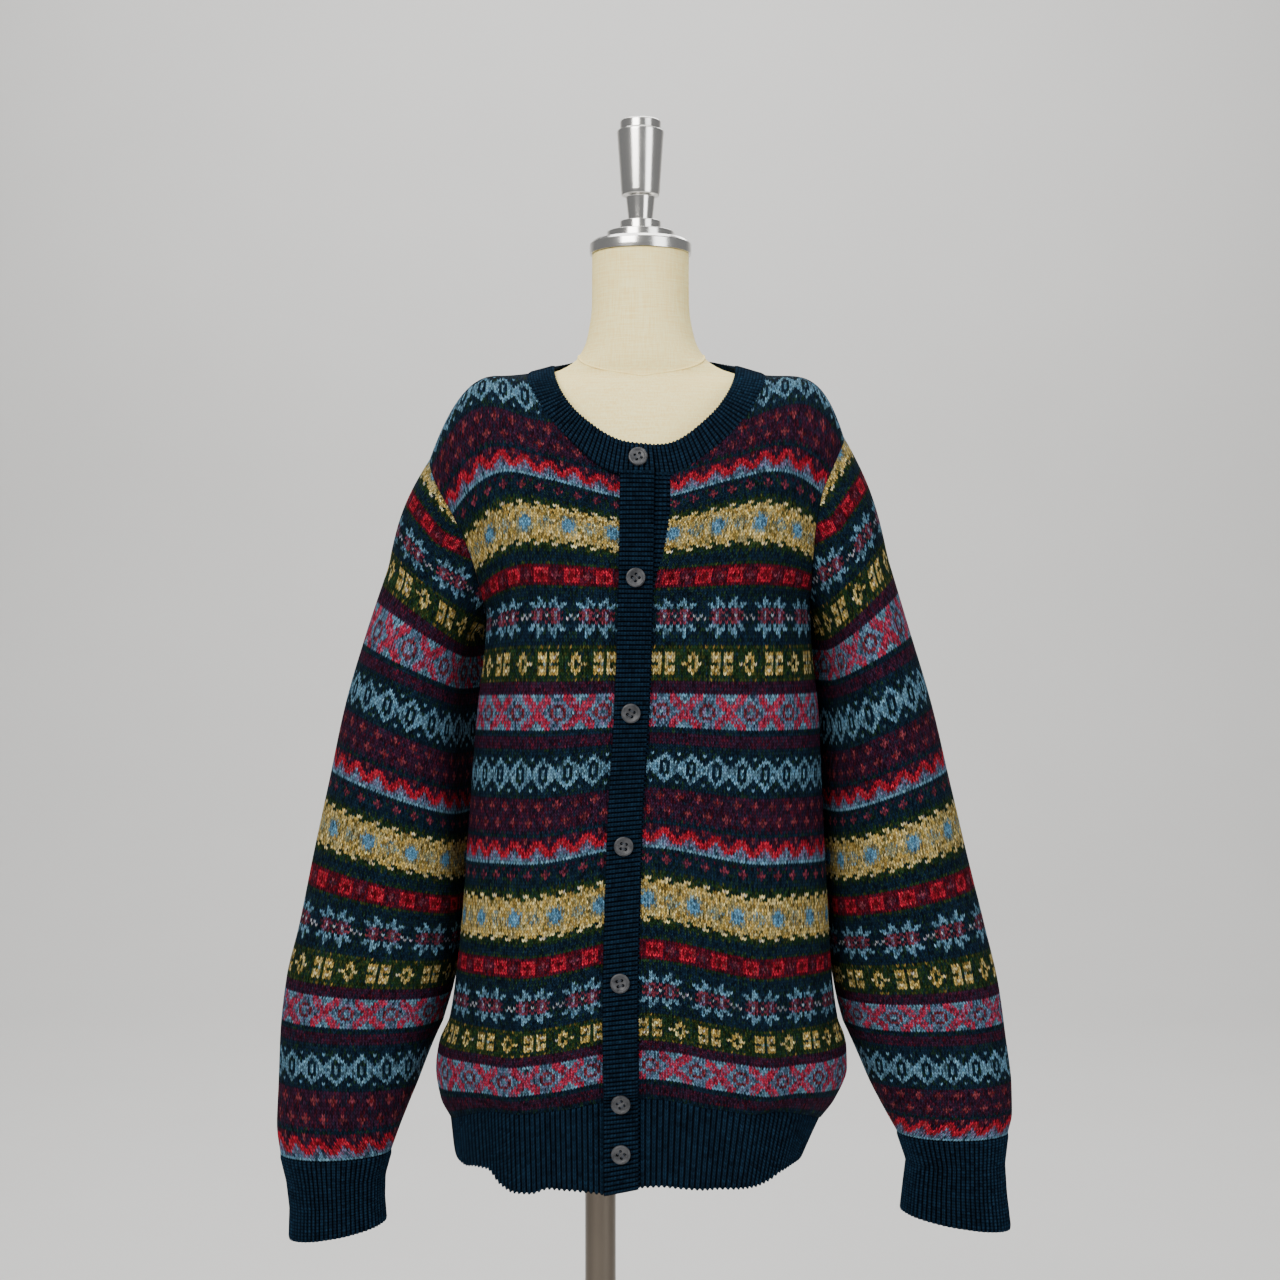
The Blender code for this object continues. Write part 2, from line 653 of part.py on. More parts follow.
def band_strip(line_right, line_left, width, lift):
    """Two long edges of a band, from the foot up, and their normals.

    The edges are made from the points of the two fronts' placket edges. A width narrows the
    band from its edge on the wearer's right.
    """
    gap = np.array([BAND_GAP, 0, 0])
    near, far = line_right + gap, line_left - gap
    if width:
        far = near + (far - near) * width / (far[:, :1] - near[:, :1])
    grid = np.stack([near, far])
    step = grid[:, -1] - grid[:, -2]
    grid[:, -1] -= step * NECK_GAP / step[:, 2:]
    normals = grid_normals(grid)
    normals[normals[..., 1] > 0] *= -1
    return grid + normals * lift, normals


def highest(edges, place, normal, radius):
    """How far a band stands above a place, within a radius of it."""
    heights = []
    for z in place[2] + np.linspace(-radius, radius, 9):
        near, far = (np.array([np.interp(z, edge[:, 2], edge[:, k]) for k in range(3)]) for edge in edges)
        heights += [float((point - place) @ normal) for point in (near, (near + far) / 2, far)]
    return max(heights)


def run_shares(line):
    """Shares of a line's length at its points."""
    run = np.concatenate([[0], np.cumsum(np.linalg.norm(np.diff(line, axis=0), axis=1))])
    return run / run[-1]


def neck_rim(face, shares):
    """The neckband's upper edge at shares of its length, from the wearer's right to the left."""
    u = np.sin(np.linspace(-math.pi / 2, math.pi / 2, 201))
    x = CENTRE_X + NECK_IN["shift"] + NECK_IN["half"] * u
    around = superellipse(u, NECK_IN["plan_power"])
    if face == "front":
        y = -NECK_IN["front_y"] * around
        z = NECK_IN["top"] - NECK_IN["drop"] * superellipse(u, NECK_IN["power"])
    else:
        y = NECK_IN["back_y"] * around
        z = NECK_IN["top"] + (NECK_IN["back_top"] - NECK_IN["top"]) * superellipse(u, 2)
    line = np.stack([x, y, z], axis=-1)
    at = run_shares(line)
    return np.stack([np.interp(shares, at, line[:, k]) for k in range(3)], axis=-1)


def neck_band(fronts, back):
    """Middle surface of the neckband, from its free end on top round to the end below.

    Its seam follows the panels' own edges, which also take its end face's normals.
    """
    count = len(NECK_STEPS)
    right, left = fronts[-1][0][-count:, 0], fronts[1][0][-count:, 0]
    behind = back[0][-1, SHOULDER_COLUMNS:SHOULDER_COLUMNS + NECK_COLUMNS + 1][::-1]
    front_shares = run_shares(np.concatenate([right[::-1], left]))
    right_shares, left_shares = front_shares[:count][::-1], front_shares[count:]

    def on_lap(x):
        t = (x - right[0][0]) / (left[0][0] - right[0][0])
        return right[0] + (left[0] - right[0]) * t, right_shares[0] + (left_shares[0] - right_shares[0]) * t
    band_x = CENTRE_X + BAND_LINE.at("x", LAP_Z)
    top_end, top_share = on_lap(band_x + BAND_HALF)
    low_end, low_share = on_lap(band_x - LAP_BELOW)
    seam = np.concatenate([[top_end], right, behind[1:], left[::-1][1:], [low_end]])
    inner = np.concatenate([
        neck_rim("front", np.concatenate([[top_share], right_shares])),
        neck_rim("back", run_shares(behind)[1:]),
        neck_rim("front", np.concatenate([left_shares[::-1][1:], [low_share]]))])
    seam = seam + NECK_SEAM_GAP * unit(inner - seam)
    grid = np.stack([seam, inner])
    across = unit(np.gradient(grid, axis=1))
    normals = unit(np.cross(np.stack([inner - seam] * 2), across))
    hub = np.array([CENTRE_X, 0, 1.20])
    normals[np.sum(normals * (grid - hub), axis=-1) < 0] *= -1
    right, left = fronts[-1][1][-count:, 0], fronts[1][1][-count:, 0]
    behind = back[1][-1, SHOULDER_COLUMNS:SHOULDER_COLUMNS + NECK_COLUMNS + 1][::-1]
    panel = np.concatenate([right[:1], right, behind[1:], left[::-1][1:], left[:1]])
    normals[0] = unit(normals[0] + panel)
    right[:] = normals[0, 1:count + 1]
    behind[1:] = normals[0, count + 1:count + len(behind)]
    behind[0] = right[-1]
    left[::-1][1:] = normals[0, count + len(behind):-1]
    left[-1] = behind[-1]
    lift = np.zeros(len(seam))
    lift[:3] = LAP_LIFT * np.array([1, 1, .3])
    return grid + normals * lift[None, :, None], normals


def make_button(name, place, normal, material):
    """A turned disc with a raised rim, facing along the band's normal."""
    r, t = BUTTON_RADIUS, BUTTON_THICK
    profile = [(r * .60, 0), (r, t * .50), (r * .94, t), (r * .74, t), (r * .62, t * .72)]
    node = turned(name, profile, 0.0, material, segments=16)
    node.rotation_mode = "QUATERNION"
    node.rotation_quaternion = Vector((0, 0, 1)).rotation_difference(Vector(normal))
    node.location = Vector(place)
    return node


def make_cardigan():
    knit = make_material("patterned_knit", (.10, .09, .14), .95)
    rib = make_material("navy_rib", (.010, .025, .045), .95)
    disc = make_material("button_grey", (.035, .037, .040), .35)
    fronts = {side: front_grid(side) for side in (-1, 1)}
    back = back_grid()
    for name, side in SIDES.items():
        grid, normals, phi = sleeve_grid(name, fronts, back)
        share_armhole_normals(fronts, back, side, normals[0])
        wall("sleeve_" + name, grid, normals, WALL, knit, closed=True)
        make_cuff(name, grid[-1], normals[-1], phi, rib)
    collar, collar_normals = neck_band(fronts, back)
    ribbed_wall("neckband", collar, collar_normals, RIB_PITCH, rib)

    plackets = {}
    for name, side in SIDES.items():
        grid, normals = fronts[side]
        wall("front_" + name, grid, normals, WALL, knit)
        feet = hem_foot("front", share_at(grid[0, :, 0] - CENTRE_X, 0.0))
        feet[-1, 1] = -SEAM_GAP / 2
        feet[0, 0] = CENTRE_X + placket_edge(side, HEM["z_front"])
        make_hem("hem_" + name, grid[0], normals[0], feet, rib)
        plackets[name] = placket_line(grid, feet[0])
    grid, normals = back
    wall("back", grid, normals, WALL, knit)
    feet = hem_foot("back", share_at(grid[0, :, 0] - CENTRE_X, 0.0))
    feet[[0, -1], 1] = SEAM_GAP / 2
    make_hem("hem_back", grid[0], normals[0], feet, rib)

    top, top_normals = band_strip(plackets["right"], plackets["left"], 2 * BAND_HALF, BAND_LIFT)
    ribbed_wall("button_band", top, top_normals, BAND_RIB_PITCH, rib)
    below, below_normals = band_strip(plackets["right"], plackets["left"], None, 0)
    ribbed_wall("under_band", below[:, ::-1], below_normals[:, ::-1], BAND_RIB_PITCH, rib, plain_from=UNDER_RIBS)

    lap = (collar[0, 0] + collar[1, 0] + collar[0, 1] + collar[1, 1]) / 4
    lap_normal = unit(collar_normals[0, 0] + collar_normals[1, 1])
    make_button("button_1", lap + lap_normal * (RIB_RISE + 2 * SEAM_GAP), lap_normal, disc)
    for number, z in enumerate(BUTTON_HEIGHTS, start=2):
        places = [np.array([np.interp(z, edge[:, 2], edge[:, k]) for k in range(3)]) for edge in top]
        facing = [np.array([np.interp(z, edge[:, 2], n[:, k]) for k in range(3)])
                  for edge, n in zip(top, top_normals)]
        normal = unit(facing[0] + facing[1])
        place = (places[0] + places[1]) / 2
        seat = highest(top, place, normal, BUTTON_RADIUS * .6) + RIB_RISE + SEAM_GAP
        make_button(f"button_{number}", place + normal * seat, normal, disc)


# ------------------------------------------------------------------ the form and its stand
def make_form():
    linen = make_material("cream_linen", (.80, .72, .55), .85)
    steel = make_material("brushed_steel", (.62, .61, .59), .30, 1.0)
    chrome = make_material("chrome", (.75, .74, .72), .08, 1.0)
    angles = np.linspace(0, 2 * math.pi, ROUND, endpoint=False)
    points = []
    for z in FORM_RINGS:
        half, front, back, power = (float(FORM.at(c, z)) for c in ("half_x", "front", "back", "power"))
        lean = (NECK_X - CENTRE_X) * float(smooth_step((z - 1.28) / .10))
        for a in angles:
            c, s = math.cos(a), math.sin(a)
            x = CENTRE_X + lean + half * math.copysign(abs(c) ** (2 / power), c)
            y = (back if s > 0 else front) * math.copysign(abs(s) ** (2 / power), s)
            points.append((x, y, z))
    faces = sheet_faces(len(FORM_RINGS), ROUND, 0, True)
    faces.append(tuple(range(ROUND)))
    faces.append(tuple(range((len(FORM_RINGS) - 1) * ROUND, len(FORM_RINGS) * ROUND)))
    make_object("form_torso", points, faces, linen)
    turned("neck_cap", CAP_PROFILE, NECK_X, steel)
    turned("finial", FINIAL_PROFILE, NECK_X, steel)
    turned("pole", [(POLE_RADIUS, BASE_THICK + SEAM_GAP), (POLE_RADIUS, FORM_BOTTOM - SEAM_GAP)], 0.0, chrome)
    make_base_collar(chrome)
    edge = .0025
    turned("base_plate", [(BASE_RADIUS - edge, 0), (BASE_RADIUS, edge), (BASE_RADIUS, BASE_THICK - edge),
                          (BASE_RADIUS - edge, BASE_THICK)], 0.0, steel, segments=40)


def make_base_collar(material):
    foot, bore = BASE_THICK + SEAM_GAP, POLE_RADIUS + SEAM_GAP
    profile = [(bore, foot), (COLLAR_RADIUS, foot), (COLLAR_RADIUS, foot + COLLAR_HEIGHT * .8),
               (COLLAR_RADIUS * .85, foot + COLLAR_HEIGHT), (bore, foot + COLLAR_HEIGHT)]
    angles = np.linspace(0, 2 * math.pi, ROUND, endpoint=False)
    points = [(r * math.cos(a), r * math.sin(a), z) for r, z in profile for a in angles]
    faces = sheet_faces(len(profile), ROUND, 0, True)
    last = (len(profile) - 1) * ROUND
    faces += [(last + j, last + (j + 1) % ROUND, (j + 1) % ROUND, j) for j in range(ROUND)]
    make_object("base_collar", points, faces, material)


def main():
    for old in list(bpy.data.objects):
        bpy.data.objects.remove(old)
    make_cardigan()
    make_form()


main()
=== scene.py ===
"""Looks of the wool cardigan and its dress form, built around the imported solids.

The first part repeats the solids' sizes and surfaces; the knitting, ribs, buttons, form and
stand are then made from them in more detail.
"""
import math

import bmesh
import bpy
import numpy as np
from mathutils import Matrix, Vector


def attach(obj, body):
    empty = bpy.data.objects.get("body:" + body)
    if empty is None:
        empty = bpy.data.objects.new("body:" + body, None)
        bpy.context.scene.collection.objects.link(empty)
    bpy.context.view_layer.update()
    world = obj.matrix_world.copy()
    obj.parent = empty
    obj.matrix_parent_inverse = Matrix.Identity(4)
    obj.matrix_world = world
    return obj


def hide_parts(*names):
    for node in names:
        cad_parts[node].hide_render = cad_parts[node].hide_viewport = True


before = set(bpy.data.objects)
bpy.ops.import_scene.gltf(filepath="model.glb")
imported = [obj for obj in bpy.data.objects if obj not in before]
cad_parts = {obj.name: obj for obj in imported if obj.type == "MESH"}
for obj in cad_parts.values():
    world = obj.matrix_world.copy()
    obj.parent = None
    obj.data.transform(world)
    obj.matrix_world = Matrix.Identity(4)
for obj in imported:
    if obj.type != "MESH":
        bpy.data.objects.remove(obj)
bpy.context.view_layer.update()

# ------------------------------------------------------------------ driving sizes
CENTRE_X = 0.0357          # middle plane of form and garment, from the pole's axis
WALL = 0.0024              # knitted cloth
RIB_WALL = 0.0028          # ribbed cloth, without the ribs' rise
RIB_RISE = 0.0007          # a rib above or below the rib cloth's middle surface
SEAM_GAP = 0.00005
NECK_SEAM_GAP = -0.0010    # the neckband is sewn over the panels' edges
NECK_GAP = -0.0030         # the bands run up under the neckband
BAND_GAP = -0.0006         # the bands overlap the fronts' edges
RIB_STEP = 0.0025          # one row of a rib's stitches
RIB_PITCH = 0.0043         # one raised rib and its furrow, on hem, cuffs and neckband
BAND_RIB_PITCH = 0.0037    # the same on the button band
BAND_HALF = 0.0137         # half the button band's width
BAND_LIFT = 0.0042         # outer face of the top band over the fronts
LAP_LIFT = 0.0045          # top end of the neckband over its lower end
LAP_Z = 1.234              # height of the neckband's lap
LAP_BELOW = 0.0082         # how far its lower end runs on under the top one

UNDERARM_ROW = 168
SHOULDER_ROW = 267
ARCH_SHARE = 0.68          # share of the half width where a knitted row is highest
SECTION_POWER = 2.3        # squareness of the body's sections
SHOULDER_SQUARE = {"left": 3.4, "right": 2.3}   # how late each shoulder falls away

BUTTON_RADIUS = 0.0077
BUTTON_THICK = 0.0034
BUTTON_FACE = 0.70          # height of the face inside the rim, as a share of the thickness
BUTTON_SIDES = 48
HOLE_PLACE = 0.0020         # a hole's middle from the button's, each way
HOLE_RADIUS = 0.0012
THREAD_RADIUS = 0.0003

POLE_RADIUS = 0.0130
BASE_RADIUS = 0.170
BASE_THICK = 0.008
BASE_EDGE = 0.0025          # slant of the plate's edges
COLLAR_RADIUS = 0.026
COLLAR_HEIGHT = 0.030
FORM_BOTTOM = 0.700
NECK_X = 0.0336             # the form's neck, from the pole's axis


# ------------------------------------------------------------------ tables
def smooth_curve(keys, values, at):
    """Cubic curve through a table's rows that never overshoots them."""
    steps = np.diff(keys)
    slopes = np.diff(values) / steps
    tangents = np.zeros_like(values)
    tangents[0], tangents[-1] = slopes[0], slopes[-1]
    product = slopes[:-1] * slopes[1:]
    total = slopes[:-1] + slopes[1:]
    same_way = product > 0
    tangents[1:-1][same_way] = 2 * product[same_way] / total[same_way]
    at = np.clip(at, keys[0], keys[-1])
    i = np.clip(np.searchsorted(keys, at, side="right") - 1, 0, len(keys) - 2)
    t = (at - keys[i]) / steps[i]
    return ((2 * t**3 - 3 * t**2 + 1) * values[i] + (3 * t**2 - 2 * t**3) * values[i + 1]
            + ((t**3 - 2 * t**2 + t) * tangents[i] + (t**3 - t**2) * tangents[i + 1]) * steps[i])


class Table:
    """Named columns, each read by a smooth curve over the first one."""

    def __init__(self, columns, rows):
        data = np.array(rows, dtype=float)
        self.keys = data[:, 0]
        self.columns = dict(zip(columns.split()[1:], data[:, 1:].T))

    def at(self, column, key):
        return smooth_curve(self.keys, self.columns[column], np.asarray(key, dtype=float))


# Edges that front and back share: side seams up to the underarm, armholes above it.
EDGES = Table("row x_left x_right z_left z_right front_y back_y turn", [
    (0,   .1490, .1610, .706, .706, 0,    0,    1),
    (5,   .1605, .1690, .722, .722, 0,    0,    1),
    (12,  .1705, .1730, .747, .747, 0,    0,    1),
    (20,  .1700, .1710, .766, .766, 0,    0,    1),
    (30,  .1630, .1620, .788, .788, 0,    0,    1),
    (50,  .1575, .1555, .832, .832, 0,    0,    1),
    (70,  .1550, .1510, .877, .877, 0,    0,    1),
    (100, .1510, .1455, .955, .955, 0,    0,    1),
    (134, .1470, .1390, 1.043, 1.041, 0,  0,    1),
    (158, .1410, .1325, 1.1015, 1.096, 0, 0,    1),
    (168, .1400, .1310, 1.125, 1.117, 0,  0,    1),
    (180, .1390, .1330, 1.150, 1.140, .030, .028, .985),
    (198, .1400, .1410, 1.183, 1.172, .046, .043, .955),
    (217, .1450, .1540, 1.219, 1.203, .050, .047, .930),
    (232, .1535, .1650, 1.240, 1.222, .047, .044, .920),
    (245, .1610, .1725, 1.256, 1.237, .038, .036, .920),
    (256, .1660, .1765, 1.267, 1.248, .025, .024, .930),
    (267, .1685, .1790, 1.274, 1.255, 0,  0,    .950),
])
FRONT = Table("row z_mid z_arch depth", [
    (0,   .7420, .7260, .108),
    (5,   .7530, .7355, .116),
    (12,  .7695, .7515, .121),
    (20,  .787,  .7695, .1215),
    (30,  .808,  .790,  .1185),
    (50,  .854,  .835,  .1135),
    (70,  .900,  .881,  .1095),
    (100, .970,  .957,  .1045),
    (134, 1.046, 1.043, .1025),
    (158, 1.1005, 1.1005, .104),
    (168, 1.124, 1.1255, .105),
    (180, 1.151, 1.155, .1045),
    (198, 1.1855, 1.198, .102),
    (217, 1.223, 1.244, .097),
    (232, 1.258, 1.277, .087),
    (245, 1.289, 1.303, .070),
    (256, 1.318, 1.318, .045),
    (267, 1.342, 1.325, 0),
])
BACK = Table("row z_mid z_arch depth", [
    (0,   .729,  .722,  .103),
    (5,   .741,  .734,  .112),
    (12,  .758,  .751,  .118),
    (20,  .777,  .770,  .118),
    (30,  .800,  .793,  .113),
    (50,  .846,  .838,  .104),
    (70,  .891,  .884,  .097),
    (100, .961,  .957,  .090),
    (134, 1.041, 1.042, .086),
    (158, 1.098, 1.099, .087),
    (168, 1.122, 1.123, .088),
    (180, 1.150, 1.152, .089),
    (198, 1.191, 1.194, .089),
    (217, 1.232, 1.237, .086),
    (232, 1.265, 1.270, .079),
    (245, 1.295, 1.298, .066),
    (256, 1.320, 1.317, .045),
    (267, 1.342, 1.325, 0),
])
FACES = {"front": (FRONT, "front_y", -1), "back": (BACK, "back_y", 1)}

# Soft folds that run up the body: where they lie, how wide and how far they stand out.
FOLDS = [dict(zip("face share width low high rise".split(), row)) for row in (
    ("front", -.62, .085, -8, 62, .0040),
    ("front", -.36, .070, -8, 48, .0028),
    ("front", .30,  .080, -8, 70, .0036),
    ("front", .58,  .080, -8, 96, .0040),
    ("front", .83,  .060, -8, 60, .0028),
    ("back",  -.70, .090, -8, 110, .0050),
    ("back",  -.38, .080, -8, 150, .0055),
    ("back",  -.05, .075, -8, 120, .0045),
    ("back",  .27,  .085, -8, 160, .0055),
    ("back",  .62,  .090, -8, 120, .0050),
)]

FOLD_FADE, FOLD_START = 45, 8     # rows over which a fold fades above and comes in below

# The button band leans a little: its middle, from the middle plane, over the height.
BAND_LINE = Table("z x", [
    (.660, -.0166), (.740, -.0168), (.800, -.0174), (.950, -.0143), (1.045, -.0088),
    (1.150, -.0052), (1.240, -.0040),
])
# The left front pulls away to the side near the neck and bares the band below.
BAND_PULL = Table("z width", [(.660, 0), (1.140, 0), (1.178, .0080), (1.210, .0120), (1.240, .0120)])

NECK_OUT = dict(half=.0975, shift=.0030, top=1.322, drop=.0935, power=1.5)
BACK_NECK_ROW = 253
NECK_IN = dict(half=.0757, shift=.0015, top=1.3330, drop=.0760, power=1.7, front_y=.086,
               back_y=.0540, back_top=1.3470, plan_power=2.8)

SLEEVES = {
    "right": Table("stage x_in z_in x_out z_out depth", [
        (1,  .146, 1.108, .213, 1.165, .055),
        (2,  .153, 1.068, .232, 1.108, .060),
        (3,  .157, 1.010, .249, 1.050, .060),
        (4,  .157, .948,  .263, .985,  .057),
        (5,  .157, .895,  .276, .925,  .053),
        (6,  .160, .848,  .288, .866,  .050),
        (7,  .167, .812,  .299, .820,  .048),
        (8,  .179, .772,  .304, .775,  .047),
        (9,  .190, .732,  .3055, .735, .045),
        (10, .2035, .697, .307, .698,  .041),
        (11, .2115, .675, .304, .6725, .035),
    ]),
    "left": Table("stage x_in z_in x_out z_out depth", [
        (1,  .152, 1.112, .205, 1.172, .055),
        (2,  .158, 1.075, .222, 1.115, .060),
        (3,  .162, 1.012, .2415, 1.050, .060),
        (4,  .162, .950,  .257, .985,  .057),
        (5,  .162, .894,  .272, .922,  .053),
        (6,  .1645, .845, .287, .862,  .050),
        (7,  .1695, .808, .298, .815,  .048),
        (8,  .1795, .770, .304, .772,  .047),
        (9,  .192, .731,  .309, .732,  .045),
        (10, .2035, .708, .3095, .708, .042),
        (11, .2135, .6905, .306, .6905, .036),
    ]),
}
# A cuff starts from its sleeve's last stage.
CUFFS = {
    "right": [
        (1, .2170, .655,  .2985, .650,  .0315),
        (2, .2176, .636,  .2958, .628,  .0320),
        (3, .2160, .616,  .2965, .602,  .0340),
    ],
    "left": [
        (1, .2215, .667,  .3030, .665,  .0315),
        (2, .2190, .647,  .3045, .640,  .0320),
        (3, .2165, .625,  .3080, .610,  .0340),
    ],
}
# Which half of the garment each sleeve hangs on: +1 is the wearer's left.
SIDES = {"right": -1, "left": 1}

# How far a sleeve's inner back is pressed in toward the body, over its height.
SLEEVE_PRESS = ([.72, .78, .88, .96, 1.02, 1.07, 1.11, 1.14], [0, .016, .016, .021, .025, .027, .021, 0])
PRESS_AT, PRESS_WIDTH = 1.22 * math.pi, .17 * math.pi   # round the sleeve, from its outer side

# How far the hem's edge pulls up or hangs lower, over its width.
HEM_DROOP = {
    "front": ([-1, -.9, -.86, -.78, -.72, -.65, -.58, -.46, -.3, -.22, -.12, .05, .2, .4, .63, .7, .84, 1],
              [.004, 0, .003, .004, -.007, -.010, -.010, -.0035, -.004, -.008, -.002, .001, -.001, -.0035,
               -.0055, -.007, .002, .004]),
    "back": ([-1, -.75, -.5, -.2, .1, .4, .7, 1], [.004, -.003, .001, -.002, -.004, 0, -.003, .004]),
}
HEM = dict(x_right=.1580, x_left=.1345, front=.1045, back=.0985, z_front=.6710, z_side=.6745)

FORM = Table("z half_x front back power", [
    (.700,  .112, .076, .080, 2.3),
    (.760,  .124, .084, .088, 2.3),
    (.850,  .122, .082, .084, 2.3),
    (.960,  .104, .074, .068, 2.3),
    (1.060, .106, .082, .068, 2.3),
    (1.130, .112, .090, .071, 2.3),
    (1.190, .121, .086, .073, 2.3),
    (1.240, .133, .073, .068, 2.2),
    (1.275, .1430, .061, .058, 1.95),
    (1.296, .1425, .053, .051, 1.8),
    (1.308, .1345, .0475, .0465, 1.75),
    (1.3171, .1210, .0420, .0390, 1.65),
    (1.3211, .1050, .0390, .0365, 1.55),
    (1.3241, .0880, .0380, .0365, 1.6),
    (1.3291, .069, .0400, .0405, 1.85),
    (1.338, .055, .041, .043, 2.0),
    (1.356, .0455, .0405, .0430, 2.0),
    (1.385, .0412, .0400, .0410, 2.0),
    (1.426, .0410, .0410, .0410, 2.0),
])
# Turned metal above the neck: radius and height of each corner.
CAP_PROFILE = [(.0425, 1.4263), (.0428, 1.4290), (.0428, 1.4345), (.0405, 1.4372), (.0283, 1.4380),
               (.0283, 1.4450), (.0172, 1.4463), (.0172, 1.4541), (.0110, 1.4548)]
FINIAL_PROFILE = [(.0100, 1.4551), (.0103, 1.4570), (.0122, 1.4748), (.0158, 1.4760), (.0163, 1.4790),
                  (.0197, 1.5285), (.0197, 1.5300), (.0172, 1.5312), (.0172, 1.5380), (.0160, 1.5390)]
BUTTON_HEIGHTS = (1.1520, 1.0453, .9408, .8347, .7410, .6995)


# ------------------------------------------------------------------ the body's surface
def smooth_step(t):
    t = np.clip(t, 0, 1)
    return t * t * (3 - 2 * t)


def unit(v):
    return v / np.maximum(np.linalg.norm(v, axis=-1, keepdims=True), 1e-12)


def lengths(line):
    """Length along a line of points, at each of them."""
    return np.concatenate([[0], np.cumsum(np.linalg.norm(np.diff(line, axis=0), axis=1))])


def points_at(places, keys, line):
    """Points of a line at places between its keys."""
    return np.stack([np.interp(places, keys, line[:, k]) for k in range(3)], axis=-1)


def bow(share, turn):
    """A section's depth over its half width, 1 in the middle and 0 at the edge."""
    def arc(t):
        return np.maximum(1 - t ** SECTION_POWER, 0) ** (1 / SECTION_POWER)
    return (arc(np.abs(share) * turn) - arc(turn)) / (1 - arc(turn))


def fold_rise(face, share, row):
    """How far the soft folds stand out at a place on the body."""
    total = np.zeros(np.broadcast(share, row).shape)
    for fold in FOLDS:
        if fold["face"] == face:
            across = np.exp(-((share - fold["share"]) / fold["width"]) ** 2)
            up = smooth_step((fold["high"] - row) / FOLD_FADE)
            up = up * smooth_step((row - fold["low"]) / FOLD_START)
            total = total + fold["rise"] * across * up
    return total


def body_point(face, share, row):
    """Outer surface: share is -1 at the wearer's right edge and +1 at the left edge."""
    share, row = np.broadcast_arrays(np.asarray(share, float), np.asarray(row, float))
    table, edge_column, way = FACES[face]
    out = np.abs(share)
    left = share > 0
    reach = np.where(left, EDGES.at("x_left", row), EDGES.at("x_right", row))
    z_edge = np.where(left, EDGES.at("z_left", row), EDGES.at("z_right", row))
    z_mid, z_arch = table.at("z_mid", row), table.at("z_arch", row)
    square = np.where(left, SHOULDER_SQUARE["left"], SHOULDER_SQUARE["right"])
    power = 2 + (square - 2) * smooth_step((row - 217) / 50)
    past = np.clip((out - ARCH_SHARE) / (1 - ARCH_SHARE), 0, 1) ** power
    z = z_mid + (z_arch - z_mid) * smooth_step(out / ARCH_SHARE) + (z_edge - z_arch) * past
    edge = EDGES.at(edge_column, row)
    y = edge + (table.at("depth", row) - edge) * bow(share, EDGES.at("turn", row))
    y = y + fold_rise(face, share, row)
    return np.stack([CENTRE_X + share * reach, way * y, z], axis=-1)


def share_at(x, row):
    """Share of the half width at a distance from the middle plane."""
    return x / np.where(x > 0, EDGES.at("x_left", row), EDGES.at("x_right", row))


# ------------------------------------------------------------------ neckline and placket
def superellipse(t, power):
    return (1 - np.clip(np.abs(t), 0, 1) ** power) ** (1 / power)


def neck_height(x):
    """Height of the neck seam on the front at a distance from the middle plane."""
    t = (x - NECK_OUT["shift"]) / NECK_OUT["half"]
    return NECK_OUT["top"] - NECK_OUT["drop"] * superellipse(t, NECK_OUT["power"])


def neck_corner(side):
    """Share at which the shoulder seam meets the neck seam."""
    return share_at(NECK_OUT["shift"] + side * NECK_OUT["half"], SHOULDER_ROW)


def in_neck(share, row):
    """Whether a place of the front lies inside the neck opening."""
    place = body_point("front", share, row)
    x = place[..., 0] - CENTRE_X
    return (np.abs(x - NECK_OUT["shift"]) < NECK_OUT["half"]) & (place[..., 2] > neck_height(x))


def neck_start(side):
    """Row at which the neck seam meets the placket edge of a front."""
    low, high = 190.0, 250.0
    for _ in range(30):
        row = (low + high) / 2
        if in_neck(share_at(placket_edge(side, FRONT.at("z_mid", row)), row), row):
            high = row
        else:
            low = row
    return high


def front_edge(side, rows, start):
    """Share of a front's inner edge at each row: the placket, and above it the neck seam."""
    below = np.minimum(rows, start)
    placket = side * share_at(placket_edge(side, FRONT.at("z_mid", below)), below)
    low, high = np.zeros(len(rows)), np.ones(len(rows))
    for _ in range(30):
        share = (low + high) / 2
        inside = in_neck(side * share, rows)
        low, high = np.where(inside, share, low), np.where(inside, high, share)
    return np.where(rows > start + 1e-6, high, placket)


def back_top_row(share):
    """Row at which a column of the back ends: at the neck seam, or at the shoulder."""
    left, right = neck_corner(1), neck_corner(-1)
    t = np.clip(np.abs(share - (left + right) / 2) / ((left - right) / 2), 0, 1)
    return BACK_NECK_ROW + (SHOULDER_ROW - BACK_NECK_ROW) * t ** 2.2


def placket_edge(side, z):
    """Edge of a front beside the bands, from the middle plane."""
    pull = BAND_PULL.at("width", z) if side > 0 else 0
    return BAND_LINE.at("x", z) + side * (BAND_HALF + SEAM_GAP) + pull


# ------------------------------------------------------------------ grids of points
FRONT_COLUMNS = 12
NECK_COLUMNS = 11
SHOULDER_COLUMNS = 5
LOWER_ROWS = np.array([0, 5, 12, 20, 30, 45, 62, 82, 104, 126, 148, UNDERARM_ROW])
YOKE_ROWS = (178, 192, 206)
BACK_NECK_FROM = 220       # row above which the back's rows close up toward its neck
NECK_STEPS = np.array([0, .2, .42, .60, .74, .87, 1])
YOKE_SPANS = len(YOKE_ROWS) + len(NECK_STEPS)


